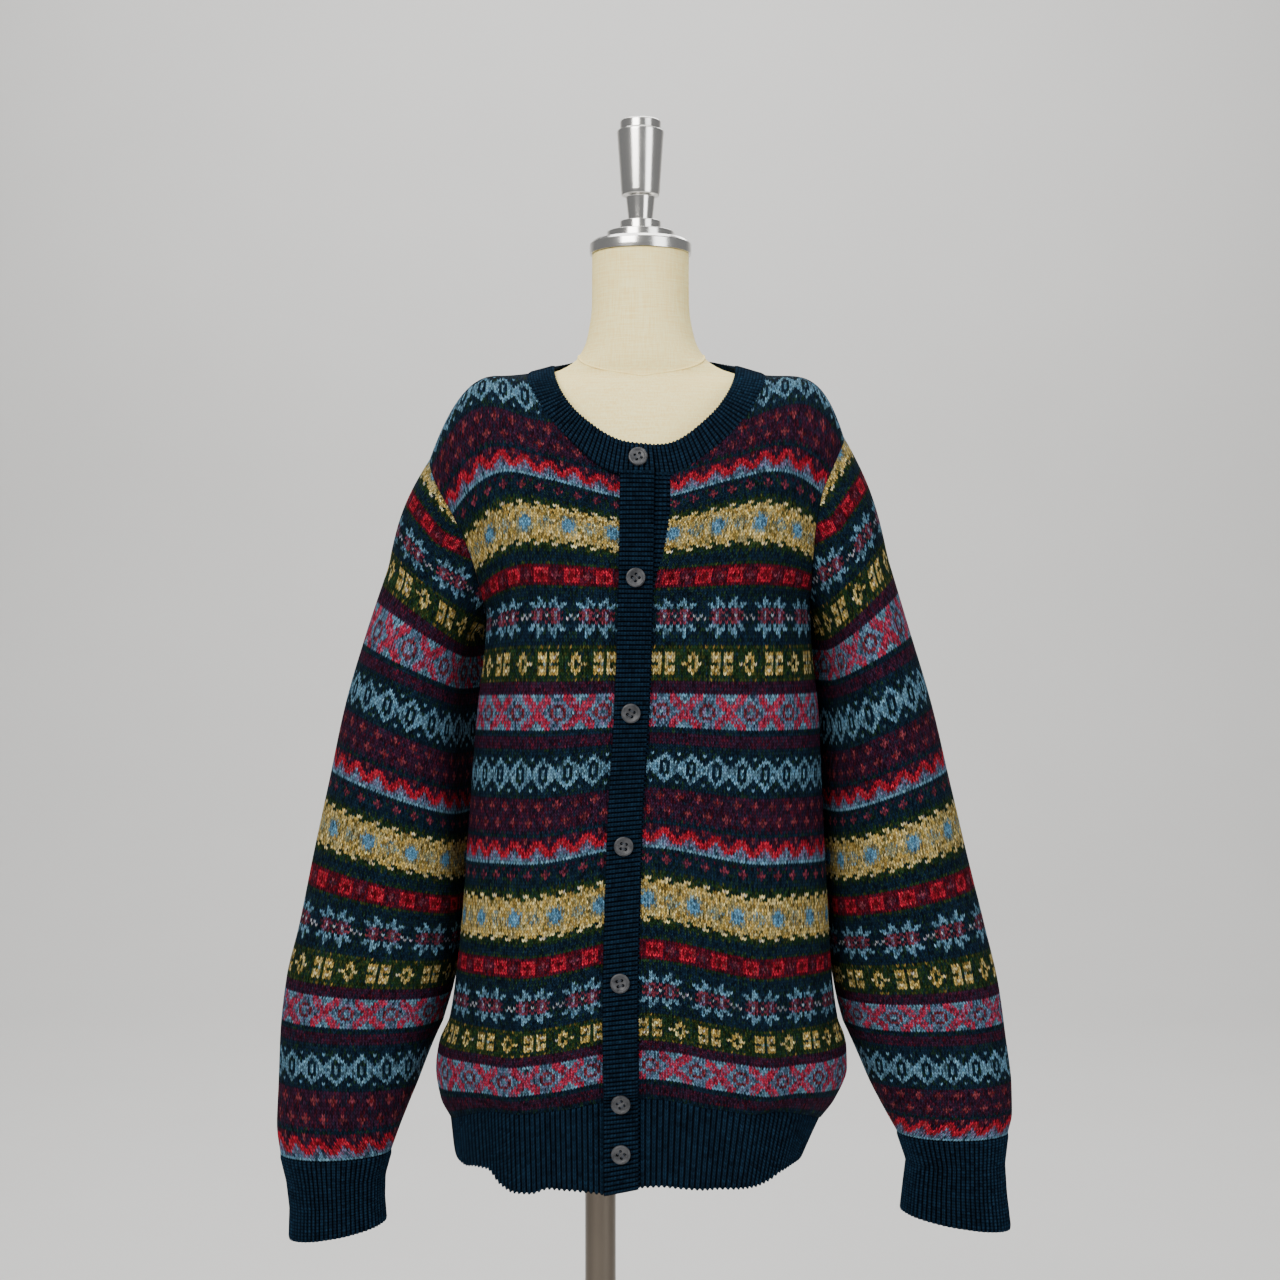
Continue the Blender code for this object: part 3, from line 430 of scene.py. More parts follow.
def grid_normals(grid, closed=False):
    """Unit normals of a grid whose rows run up and whose columns run one way across."""
    if closed:
        wide = np.concatenate([grid[:, -1:], grid, grid[:, :1]], axis=1)
        across = np.gradient(wide, axis=1)[:, 1:-1]
    else:
        across = np.gradient(grid, axis=1)
    return unit(np.cross(across, np.gradient(grid, axis=0)))


def seat_seams(grid, normals, way, edges, shoulder):
    """Puts side and shoulder seams half a gap from y = 0 and squares their end faces to Y."""
    low = len(LOWER_ROWS)
    for part in [(slice(low), edge) for edge in edges] + [(-1, column) for column in shoulder]:
        grid[part + (1,)] = way * SEAM_GAP / 2
        normals[part + (1,)] = 0
    return grid, unit(normals)


def front_grid(side):
    """Outer points of a front: columns from the placket out to the side seam."""
    start = neck_start(side)
    rows = np.concatenate([LOWER_ROWS, YOKE_ROWS, start + NECK_STEPS * (SHOULDER_ROW - start)])
    inner = front_edge(side, rows, start)
    t = np.sin(np.linspace(0, math.pi / 2, FRONT_COLUMNS)) * .55 + np.linspace(0, .45, FRONT_COLUMNS)
    shares = inner[:, None] * (1 - t[None, :]) + t[None, :]
    grid = body_point("front", side * shares, rows[:, None])
    normals = grid_normals(grid) * side
    return seat_seams(grid, normals, -1, [-1], range(FRONT_COLUMNS))


def back_grid():
    """Outer points of the back, columns from the wearer's left side to the right."""
    left, right = neck_corner(1), neck_corner(-1)
    bend = np.sin(np.linspace(0, math.pi / 2, SHOULDER_COLUMNS + 1))
    sweep = np.sin(np.linspace(-math.pi / 2, math.pi / 2, NECK_COLUMNS + 1))[1:-1]
    shares = np.concatenate([(left + (1 - left) * bend)[::-1],
                             (left + right) / 2 + (right - left) / 2 * sweep,
                             right + (-1 - right) * bend])
    tops = back_top_row(shares)
    lower = np.repeat(LOWER_ROWS[:, None], len(shares), axis=1)
    upper = np.concatenate([YOKE_ROWS, BACK_NECK_FROM + NECK_STEPS * (SHOULDER_ROW - BACK_NECK_FROM)])
    steps = (upper - UNDERARM_ROW) / (SHOULDER_ROW - UNDERARM_ROW)
    yoke = UNDERARM_ROW + steps[:, None] * (tops[None, :] - UNDERARM_ROW)
    grid = body_point("back", shares[None, :], np.concatenate([lower, yoke]))
    normals = grid_normals(grid)
    shoulders = list(range(SHOULDER_COLUMNS + 1)) + list(range(-1 - SHOULDER_COLUMNS, 0))
    return seat_seams(grid, normals, 1, [0, -1], shoulders)


def hem_foot(face, share):
    """Lower edge of the ribbed hem."""
    reach = np.where(share > 0, HEM["x_left"], HEM["x_right"])
    way = -1 if face == "front" else 1
    y = way * (HEM[face] * superellipse(share, SECTION_POWER) + fold_rise(face, share, 0))
    z = HEM["z_front"] + (HEM["z_side"] - HEM["z_front"]) * share ** 2
    z = z + np.interp(share, *HEM_DROOP[face])
    return np.stack([CENTRE_X + share * reach, y, z], axis=-1)


def ring(table_row, phi, side):
    """Points round one stage of a sleeve: 0 is its outer side, then the front, pi is inside."""
    x_in, z_in, x_out, z_out, depth = table_row
    reach = np.cos(phi)
    x = (x_out + x_in) / 2 + reach * (x_out - x_in) / 2
    z = (z_out + z_in) / 2 + reach * (z_out - z_in) / 2
    x = x - np.interp(z, *SLEEVE_PRESS) * np.exp(-((phi - PRESS_AT) / PRESS_WIDTH) ** 2)
    return np.stack([CENTRE_X + side * x, -depth * np.sin(phi), z], axis=-1)


SLEEVE_COLUMNS = "x_in z_in x_out z_out depth".split()
SLEEVE_STAGES = (1, 1.5, 2, 2.7, 3.5, 4.5, 5.7, 7, 8, 9, 10, 11)
CAP_STEPS = (.2, .45, .72)
CAP_BULGE = 0.006


def armhole(side, fronts, back):
    """The body's points round one armhole, from the shoulder down the front and up the back."""
    low = len(LOWER_ROWS) - 1
    front, front_normals = fronts[side]
    back_points, back_normals = back
    back_edge = 0 if side > 0 else -1
    loop = np.concatenate([front[low:, -1][::-1], back_points[low + 1:-1, back_edge]])
    normals = np.concatenate([front_normals[low:, -1][::-1], back_normals[low + 1:-1, back_edge]])
    loop[0, 1] = 0
    loop[YOKE_SPANS, 1] = 0
    return loop, normals


def sleeve_grid(name, fronts, back):
    """Outer points of a sleeve, rings from the armhole down, and its armhole normals."""
    side = SIDES[name]
    loop, loop_normals = armhole(side, fronts, back)
    table = SLEEVES[name]
    closed = np.concatenate([loop, loop[:1]])
    run = lengths(closed)
    half = YOKE_SPANS
    phi = np.concatenate([math.pi * run[:half] / run[half],
                          math.pi * (1 + (run[half:-1] - run[half]) / (run[-1] - run[half]))])
    first = ring([table.at(c, 1) for c in SLEEVE_COLUMNS], phi, side)
    outward = unit(first - first.mean(axis=0)) * (.5 + .5 * np.cos(phi))[:, None]
    rings = [loop]
    for step in CAP_STEPS:
        rings.append(loop + (first - loop) * step + outward * CAP_BULGE * math.sin(math.pi * step))
    rings += [ring([table.at(c, stage) for c in SLEEVE_COLUMNS], phi, side) for stage in SLEEVE_STAGES]
    grid = np.array(rings)
    onward = unit(grid[1] - grid[0])
    grid[0] = grid[0] + SEAM_GAP * onward
    normals = grid_normals(grid, closed=True)
    if np.sum(normals[5] * (grid[5] - grid[5].mean(axis=0))) < 0:
        normals = -normals
    normals[0] = unit(normals[0] + loop_normals)
    return grid, normals, phi


def share_armhole_normals(fronts, back, side, ring_normals):
    """Gives the body's armhole edge the same end face as the sleeve's first ring."""
    low, half = len(LOWER_ROWS) - 1, YOKE_SPANS
    back_edge = 0 if side > 0 else -1
    fronts[side][1][low:, -1] = ring_normals[:half + 1][::-1]
    back[1][low + 1:-1, back_edge] = ring_normals[half + 1:]
    back[1][low, back_edge] = ring_normals[half]
    back[1][-1, back_edge] = ring_normals[0]


def placket_line(front, foot):
    """A front's placket edge, from the hem's foot up to the neck seam."""
    return np.concatenate([foot[None, :], front[:-len(NECK_STEPS) + 1, 0]])


def band_strip(line_right, line_left, width, lift):
    """Two long edges of a band, from the foot up, and their normals.

    The edges are made from the points of the two fronts' placket edges. A width narrows the
    band from its edge on the wearer's right.
    """
    gap = np.array([BAND_GAP, 0, 0])
    near, far = line_right + gap, line_left - gap
    if width:
        far = near + (far - near) * width / (far[:, :1] - near[:, :1])
    grid = np.stack([near, far])
    step = grid[:, -1] - grid[:, -2]
    grid[:, -1] -= step * NECK_GAP / step[:, 2:]
    normals = grid_normals(grid)
    normals[normals[..., 1] > 0] *= -1
    return grid + normals * lift, normals


def highest(edges, place, normal, radius):
    """How far a band stands above a place, within a radius of it."""
    heights = []
    for z in place[2] + np.linspace(-radius, radius, 9):
        near, far = (points_at(z, edge[:, 2], edge) for edge in edges)
        heights += [float((point - place) @ normal) for point in (near, (near + far) / 2, far)]
    return max(heights)


def run_shares(line):
    """Shares of a line's length at its points."""
    run = lengths(line)
    return run / run[-1]


def neck_rim(face, shares):
    """The neckband's upper edge at shares of its length, from the wearer's right to the left."""
    u = np.sin(np.linspace(-math.pi / 2, math.pi / 2, 201))
    x = CENTRE_X + NECK_IN["shift"] + NECK_IN["half"] * u
    around = superellipse(u, NECK_IN["plan_power"])
    if face == "front":
        y = -NECK_IN["front_y"] * around
        z = NECK_IN["top"] - NECK_IN["drop"] * superellipse(u, NECK_IN["power"])
    else:
        y = NECK_IN["back_y"] * around
        z = NECK_IN["top"] + (NECK_IN["back_top"] - NECK_IN["top"]) * superellipse(u, 2)
    line = np.stack([x, y, z], axis=-1)
    return points_at(shares, run_shares(line), line)


def neck_band(fronts, back):
    """Middle surface of the neckband, from its free end on top round to the end below.

    Its seam follows the panels' own edges, which also take its end face's normals.
    """
    count = len(NECK_STEPS)
    right, left = fronts[-1][0][-count:, 0], fronts[1][0][-count:, 0]
    behind = back[0][-1, SHOULDER_COLUMNS:SHOULDER_COLUMNS + NECK_COLUMNS + 1][::-1]
    front_shares = run_shares(np.concatenate([right[::-1], left]))
    right_shares, left_shares = front_shares[:count][::-1], front_shares[count:]

    def on_lap(x):
        t = (x - right[0][0]) / (left[0][0] - right[0][0])
        return right[0] + (left[0] - right[0]) * t, right_shares[0] + (left_shares[0] - right_shares[0]) * t
    band_x = CENTRE_X + BAND_LINE.at("x", LAP_Z)
    top_end, top_share = on_lap(band_x + BAND_HALF)
    low_end, low_share = on_lap(band_x - LAP_BELOW)
    seam = np.concatenate([[top_end], right, behind[1:], left[::-1][1:], [low_end]])
    inner = np.concatenate([
        neck_rim("front", np.concatenate([[top_share], right_shares])),
        neck_rim("back", run_shares(behind)[1:]),
        neck_rim("front", np.concatenate([left_shares[::-1][1:], [low_share]]))])
    seam = seam + NECK_SEAM_GAP * unit(inner - seam)
    grid = np.stack([seam, inner])
    across = unit(np.gradient(grid, axis=1))
    normals = unit(np.cross(np.stack([inner - seam] * 2), across))
    hub = np.array([CENTRE_X, 0, 1.20])
    normals[np.sum(normals * (grid - hub), axis=-1) < 0] *= -1
    right, left = fronts[-1][1][-count:, 0], fronts[1][1][-count:, 0]
    behind = back[1][-1, SHOULDER_COLUMNS:SHOULDER_COLUMNS + NECK_COLUMNS + 1][::-1]
    panel = np.concatenate([right[:1], right, behind[1:], left[::-1][1:], left[:1]])
    normals[0] = unit(normals[0] + panel)
    right[:] = normals[0, 1:count + 1]
    behind[1:] = normals[0, count + 1:count + len(behind)]
    behind[0] = right[-1]
    left[::-1][1:] = normals[0, count + len(behind):-1]
    left[-1] = behind[-1]
    lift = np.zeros(len(seam))
    lift[:3] = LAP_LIFT * np.array([1, 1, .3])
    return grid + normals * lift[None, :, None], normals


# ------------------------------------------------------------------ pattern
# Each yarn's colour, and those that it is spun from: what a leg of a stitch may turn towards.
YARNS = {
    "n": ((.0042, .0135, .0275), "nnnng"),      # navy
    "g": ((.0100, .0290, .0105), "ggghn"),      # dark green
    "h": ((.0420, .0480, .0100), "hhgno"),      # olive
    "p": ((.0270, .0080, .0230), "pppmn"),      # plum
    "m": ((.0650, .0050, .0130), "mmkp"),       # maroon
    "r": ((.3700, .0130, .0300), "rrrku"),      # red
    "k": ((.1200, .0050, .0100), "kkm"),        # deep red
    "e": ((.3000, .0240, .0560), "eeersv"),     # rose red
    "q": ((.1450, .0250, .0420), "qqupn"),      # dusty rose
    "u": ((.1500, .0280, .0350), "uuqkp"),      # brick
    "s": ((.0800, .1500, .2400), "ssavn"),      # slate blue
    "a": ((.1150, .2350, .3150), "aasnb"),      # light blue
    "b": ((.0850, .2300, .3700), "bbsa"),       # sky blue
    "v": ((.1400, .1100, .2000), "vvsqn"),      # lilac
    "w": ((.3000, .3000, .3300), "wwavn"),      # pale grey
    "y": ((.4500, .3150, .0800), "yyccottg"),   # gold
    "o": ((.2700, .1650, .0380), "ooyg"),       # ochre
    "c": ((.6600, .5500, .2600), "ccyw"),       # cream
    "t": ((.2300, .2350, .1400), "ttyoa"),      # grey green
}


def mirrored(rows):
    """A chart that reads the same upward and downward, from its top half and middle row."""
    return rows + rows[-2::-1]


# Rows of stitches, the top row first. Each letter is a yarn; each chart repeats sideways.
OXO = mirrored(["eeaaaaaeeeasss", "eeeaaaeeeessss", "eeeeaeeeessvss", "seeeeeeessuuus", "sseeeeessuvsvu",
                "vsseeesssusasu"])
SQUARES = ["hgghghgghghggghghg", "gggggggggggggggggg", "yoygyoygggggyggggg", "ycygycyggggyyygggg",
           "yoygyoyggggygygggg", "ggtgtggggcyggycggg", "yoygyoyggggygygggg", "ycygycyggggyyygggg",
           "yoygyoygggggyggggg", "gggggggggggggggggg", "hghgghghgghghghggg"]
STARS = ["nnnnnnnnnnnnnnnn", "nnnannnnnannnnnn", "nnnaannnaannnnnn", "aanaaanaaanaannn", "naaanananaaannnn",
         "nnvqqnqnqqvnnnnn", "nqqvqqnqqvqqnnnn", "nnqwqnwnqwqnwnwn", "nqqvqqnqqvqqnwnw", "nnvqqnqnqqvnnnnn",
         "naaanananaaannnn", "aanaaanaaanaannn", "nnnaannnaannnnnn", "nnnannnnnannnnnn", "nnnnnnnnnnnnnnnn",
         "nnnnnnnnnnnnnnnn"]
BLOCKS = mirrored(["nnnnnnnnnn", "nnnnnnnnnn", "gnggnggngg", "mmmmmmmmmm", "rrrrrmmmmm", "rrkrrmmqmm",
                   "rkkkrmqqqm"])
TEETH = ["nnnnnn", "ngngng", "gggggg", "gccggg", "yyggyy", "yyyyyy"]
FLOWERS = mirrored(["yyoyyyyyyyyyoy", "yyyyyttttyyyyy", "tyyyttbbttyyyt", "ttyytbbbbtyytt", "tttytbbbbtyttt"])
CROSSES = ["nnnnnn", "pnnnpn", "nqnnnn", "qqqnnn", "nqnnnn", "nnnnnn"]
ZIGZAG = ["uppppppp", "upprrrpp", "pprrrrrp", "prrrvrrr", "rrrvvvrr", "rrvvsvvr", "vvssssvv", "aaaaaaaa"]
DOTS = ["nnnnnn", "pppppp", "pupppp", "uuuppp", "pupppp", "pppppp", "pppppp", "ppppup", "pppuuu", "ppppup",
        "pppppp", "npnpnp", "nnnnnn"]
LATTICE = mirrored(["nnnnnnnn", "annnannn", "nnnaaann", "nnaanaan", "naannnaa", "aaananaa", "aaananaa"])
PLUM, NAVY = ["p"] * 4, ["n"] * 2
# Bottom to top, one whole repeat: each band with the stitch that it starts from at the placket.
BANDS = [(OXO, 8), (PLUM, 0), (SQUARES, 0), (STARS, 0), (BLOCKS, 8), (TEETH[::-1], 0), (FLOWERS, 5),
         (TEETH, 0), (CROSSES, 0), (ZIGZAG, 6), (DOTS, 3), (LATTICE, 7), (NAVY, 0), (PLUM, 0), (NAVY, 0)]
CHART = [row[start:] + row[:start] for band, start in BANDS for row in band[::-1]]
TOP_ROW = 240              # first row past the last band: plain, up to the body's shoulders
LETTERS = {letter: number for number, letter in enumerate(YARNS)}
COLOURS = np.array([colour for colour, _ in YARNS.values()])
TURNS = [[LETTERS[other] for other in marl] for _, marl in YARNS.values()]
TURN_SHARE = (.35, .95)    # how far a leg turns to the other colour
LIGHT_SPREAD, LIGHT_RANGE = .40, (.35, 2.1)   # how much lighter or darker single legs are

# Where pattern rows lie on the body's nominal rows, and along a sleeve's stages.
BODY_ROWS = np.array([
    (-7.8, 0), (-4, 4.4), (5.5, 13), (13, 20), (20.5, 26.6), (34, 39), (48.5, 53), (65.5, 69.6), (79, 84),
    (86, 91), (96.5, 102), (109.5, 115), (120, 125), (129.5, 134.5), (137, 143), (144.5, 151), (158, 166.5),
    (172.5, 180), (189.5, 198), (203, 210), (210, 217), (220.5, 228), (233.5, 244.5), (240, 255),
    (249, 269.1)])
SLEEVE_ROWS = {
    "right": np.array([(0, 11), (8, 10), (20, 9), (36.6, 8), (55.9, 7), (73.1, 6), (96.3, 5), (120, 4),
                       (144.8, 3), (168.8, 2), (185.5, 1)]),
    "left": np.array([(0, 11), (7, 10), (18, 9), (36, 8), (55.9, 7), (73.1, 6), (96.3, 5), (120, 4),
                      (144.8, 3), (168.8, 2), (185.5, 1)]),
}
SLEEVE_SHIFT = 42          # pattern row of a sleeve's first row, counted back from the repeat's start
SLEEVE_CAP_ROW, SLEEVE_LAST = 185.5, 232
CAP_LOW, CAP_RISE = 191, 41      # row at the armhole's foot, and how many more at its tip
STITCH = 0.00263           # one stitch across
LEG = 0.36                 # how far a stitch's legs rise, in rows
SMALLEST_LEG = 6e-8        # area below which a cut leg at an edge is left out
YOKE_NECK, YOKE_ARM = 268, 246   # rows that the yoke holds beside the neck and at the armhole


YOKE_FROM = 200            # row above which the pattern's rows spread or close up over the yoke


def body_row(pattern_row, share):
    """Nominal row of the body's surface at a row of the pattern."""
    nominal = np.interp(pattern_row, BODY_ROWS[:, 0], BODY_ROWS[:, 1])
    top = YOKE_NECK - (YOKE_NECK - YOKE_ARM) * np.clip((np.abs(share) - .55) / .45, 0, 1)
    yoke = YOKE_FROM + (nominal - YOKE_FROM) * (SHOULDER_ROW - YOKE_FROM) / (top - YOKE_FROM)
    return np.clip(np.where(nominal > YOKE_FROM, yoke, nominal), 0, SHOULDER_ROW)


# ------------------------------------------------------------------ meshes
def sheet_faces(rows, columns, first, closed):
    """Quads of a grid of points whose first point has the given number."""
    faces = []
    for i in range(rows - 1):
        for j in range(columns if closed else columns - 1):
            k = (j + 1) % columns
            a, b = first + i * columns, first + (i + 1) * columns
            faces.append((a + j, a + k, b + k, b + j))
    return faces


def put(name, data):
    """A new object in the scene."""
    piece = bpy.data.objects.new(name, data)
    bpy.context.scene.collection.objects.link(piece)
    return piece


def link_mesh(name, points, quads, material, uv=None, colours=None, extra=()):
    """A mesh of quads, with a UV and a yarn colour for each corner."""
    mesh = bpy.data.meshes.new(name)
    quads = np.asarray(quads, dtype=np.int32)
    loops = list(quads.ravel())
    starts = list(range(0, 4 * len(quads), 4))
    for face in extra:
        starts.append(len(loops))
        loops += list(face)
    mesh.vertices.add(len(points))
    mesh.vertices.foreach_set("co", np.asarray(points, dtype=np.float32).ravel())
    mesh.loops.add(len(loops))
    mesh.loops.foreach_set("vertex_index", np.array(loops, dtype=np.int32))
    mesh.polygons.add(len(starts))
    mesh.polygons.foreach_set("loop_start", np.array(starts, dtype=np.int32))
    mesh.update(calc_edges=True)
    if uv is not None:
        flat = np.zeros((len(loops), 2), dtype=np.float32)
        flat[:len(uv)] = uv
        mesh.uv_layers.new(name="stitches").data.foreach_set("uv", flat.ravel())
    if colours is not None:
        flat = np.ones((len(loops), 4), dtype=np.float32)
        flat[:, :3] = colours.mean(axis=0)
        flat[:len(colours), :3] = colours
        layer = mesh.color_attributes.new(name="yarn", type="BYTE_COLOR", domain="CORNER")
        layer.data.foreach_set("color", flat.ravel())
    mesh.shade_smooth()
    mesh.materials.append(material)
    return put(name, mesh)


def knit_piece(name, curves, origin, low, high, first_row, seed, material, outward, plain=True):
    """A panel of stitches, each one two legs that meet below in a V.

    curves gives the points along each of a list of pattern rows; origin, low and high are
    the lengths along them of the wale numbered 0 and of the panel's two edges.
    """
    levels = len(curves) // 2
    wales_low = math.floor(min((low - origin).min(), 0) / STITCH) * 2
    wales_high = math.ceil((high - origin).max() / STITCH) * 2
    k = np.arange(wales_low, wales_high + 1)
    points = np.empty((levels, len(k), 3))
    for i in range(levels):
        for odd in (0, 1):
            n = 2 * i + odd
            line = curves[n]
            pick = (k % 2) == odd
            at = np.clip(origin[n] + k[pick] * STITCH / 2, low[n], high[n])
            points[i, pick] = points_at(at, lengths(line), line)
    rows, columns = points.shape[:2]
    flat = points.reshape(-1, 3)
    i, j = np.meshgrid(np.arange(rows - 1), np.arange(columns - 1), indexing="ij")
    a = (i * columns + j).ravel()
    quads = np.stack([a, a + 1, a + 1 + columns, a + columns], axis=1)
    if outward:
        quads = quads[:, ::-1]
    p = flat[quads]
    area = np.linalg.norm(np.cross(p[:, 2] - p[:, 0], p[:, 3] - p[:, 1]), axis=1) / 2
    keep = area > SMALLEST_LEG
    i, j, quads = i.ravel()[keep], j.ravel()[keep], quads[keep]
    wale = np.floor_divide(k[j], 2)
    lines = ["n" if plain and first_row + row > TOP_ROW else CHART[(first_row + row) % len(CHART)]
             for row in range(rows)]
    letters = np.array([LETTERS[lines[row][w % len(lines[row])]] for row, w in zip(i, wale)])
    rng = np.random.default_rng(seed)
    turn = np.array([TURNS[letter][int(pick * len(TURNS[letter]))]
                     for letter, pick in zip(letters, rng.random(len(i)))])
    share = rng.uniform(*TURN_SHARE, (len(i), 1))
    light = np.clip(1 + LIGHT_SPREAD * rng.standard_normal((len(i), 1)), *LIGHT_RANGE)
    colours = np.clip((COLOURS[letters] * (1 - share) + COLOURS[turn] * share) * light, 0, 1)
    corner_u, corner_v = np.array([0, 1, 1, 0]), np.array([0, 0, 1, 1])
    if outward:
        corner_u, corner_v = corner_u[::-1], corner_v[::-1]
    uv = np.stack([(j[:, None] + corner_u) / 2, i[:, None] + corner_v], axis=-1).reshape(-1, 2)
    used, quads = np.unique(quads, return_inverse=True)
    quads = quads.reshape(-1, 4)
    return link_mesh(name, flat[used], quads, material, uv, np.repeat(colours, 4, axis=0))


def panel_levels(first, last):
    """Pattern rows of a panel's stitch corners: for each row the sides, then the middles."""
    rows = np.arange(first, last + 1)
    return np.stack([rows + LEG, rows - LEG], axis=1).ravel()


def along(line, place):
    """Length along each line of points to a place given by its index, which may be a fraction."""
    whole = np.arange(line.shape[1])
    return np.array([np.interp(p, whole, lengths(row)) for p, row in zip(place, line)])


BODY_FIRST, BODY_LAST = -8, 259
SAMPLES = 160


def knit_front(name, side, seed, material):
    """A front's stitches, counted from the placket out to the side seam."""
    start = neck_start(side)
    levels = panel_levels(BODY_FIRST, BODY_LAST)
    inner = np.full(len(levels), .1)
    for _ in range(4):
        rows = body_row(levels, inner)
        inner = front_edge(side, rows, start)
    below = np.minimum(rows, start)
    placket = side * share_at(placket_edge(side, FRONT.at("z_mid", below)), below)
    placket = np.minimum(placket, inner)
    t = np.linspace(0, 1, SAMPLES)
    shares = placket[:, None] + (1 - placket[:, None]) * t
    curves = body_point("front", side * shares, body_row(levels[:, None], shares))
    low = along(curves, (inner - placket) / (1 - placket) * (SAMPLES - 1))
    high = along(curves, np.full(len(levels), SAMPLES - 1.0))
    curves[:, -1, 1] = np.where(rows < UNDERARM_ROW, -SEAM_GAP / 2, curves[:, -1, 1])
    return knit_piece(name, curves, np.zeros(len(levels)), low, high, BODY_FIRST, seed, material, side > 0)


def knit_back(seed, material):
    """The back's stitches, counted from its middle."""
    levels = panel_levels(BODY_FIRST, BODY_LAST)
    shares = np.broadcast_to(np.linspace(-1, 1, 2 * SAMPLES + 1), (len(levels), 2 * SAMPLES + 1))
    rows = np.minimum(body_row(levels[:, None], shares), back_top_row(shares))
    curves = body_point("back", shares, rows)
    high = along(curves, np.full(len(levels), 2.0 * SAMPLES))
    middle = along(curves, np.full(len(levels), 1.0 * SAMPLES))
    low = np.zeros(len(levels))
    return knit_piece("back_knit", curves, middle, low, high, BODY_FIRST, seed, material, True)


def sleeve_top(phi, loop_phi, loop):
    """Sleeve rows at the armhole edge, from the armhole's heights."""
    z = np.interp(phi, loop_phi, loop[:, 2])
    tip, foot = loop[:, 2].max(), loop[:, 2].min()
    t = (z - foot) / (tip - foot)
    return CAP_LOW + CAP_RISE * np.interp(t, [0, .18, .4, .64, 1], [0, .22, .52, .88, 1])


def knit_sleeve(name, fronts, back, seed, material):
    """A sleeve's stitches, counted from its outer side round to the seam inside."""
    side = SIDES[name]
    grid, _, loop_phi = sleeve_grid(name, fronts, back)
    loop = grid[0]
    table = SLEEVES[name]
    phi = np.linspace(-math.pi, math.pi, 2 * SAMPLES + 1)
    turn = np.mod(phi, 2 * math.pi)
    turn[0] = turn[-1] = math.pi
    keys = np.concatenate([loop_phi, [2 * math.pi]])
    ends = np.concatenate([loop, loop[:1]])
    edge = points_at(turn, keys, ends)
    top = sleeve_top(turn, keys, ends)
    levels = panel_levels(0, SLEEVE_LAST)
    rows = np.minimum(levels[:, None], top[None, :])
    stage = np.interp(np.clip(rows, 0, SLEEVE_CAP_ROW), SLEEVE_ROWS[name][:, 0], SLEEVE_ROWS[name][:, 1])
    points = ring([table.at(c, stage) for c in SLEEVE_COLUMNS], turn[None, :], side)
    first = ring([table.at(c, 1.0) for c in SLEEVE_COLUMNS], turn, side)
    cap = np.clip((rows - SLEEVE_CAP_ROW) / np.maximum(top - SLEEVE_CAP_ROW, 1e-6), 0, 1)[..., None]
    outward = unit(first - first.mean(axis=0)) * (.5 + .5 * np.cos(turn))[:, None]
    bulge = outward[None] * CAP_BULGE * np.sin(math.pi * cap)
    curves = np.where(cap > 0, first[None] + (edge - first)[None] * cap + bulge, points)
    middle = along(curves, np.full(len(levels), 1.0 * SAMPLES))
    high = along(curves, np.full(len(levels), 2.0 * SAMPLES))
    low = np.zeros(len(levels))
    return knit_piece(f"sleeve_{name}_knit", curves, middle, low, high, -SLEEVE_SHIFT, seed, material,
                      side > 0, plain=False)


def inside_piece(name, grid, normals, material, closed=False):
    """The wrong side of a panel, under its stitches."""
    inner = grid - normals * WALL
    rows, columns = inner.shape[:2]
    faces = np.array(sheet_faces(rows, columns, 0, closed))
    return link_mesh(name, inner.reshape(-1, 3), faces, material)


PER_RIB = 6                # columns of faces in one rib and its furrow
RIB_EDGE = 0.0007          # how far a ribbed strip's two edges are rounded off
# Painted shade in a rib's furrows and painted highlight on its crests, as factors on the yarn colour.
PAINTED_FURROW_SHADE, PAINTED_CREST_HIGHLIGHT = .28, 1.35
RIB_SPREAD, RIB_RANGE = .18, (.4, 1.6)        # how much lighter or darker single stitches are


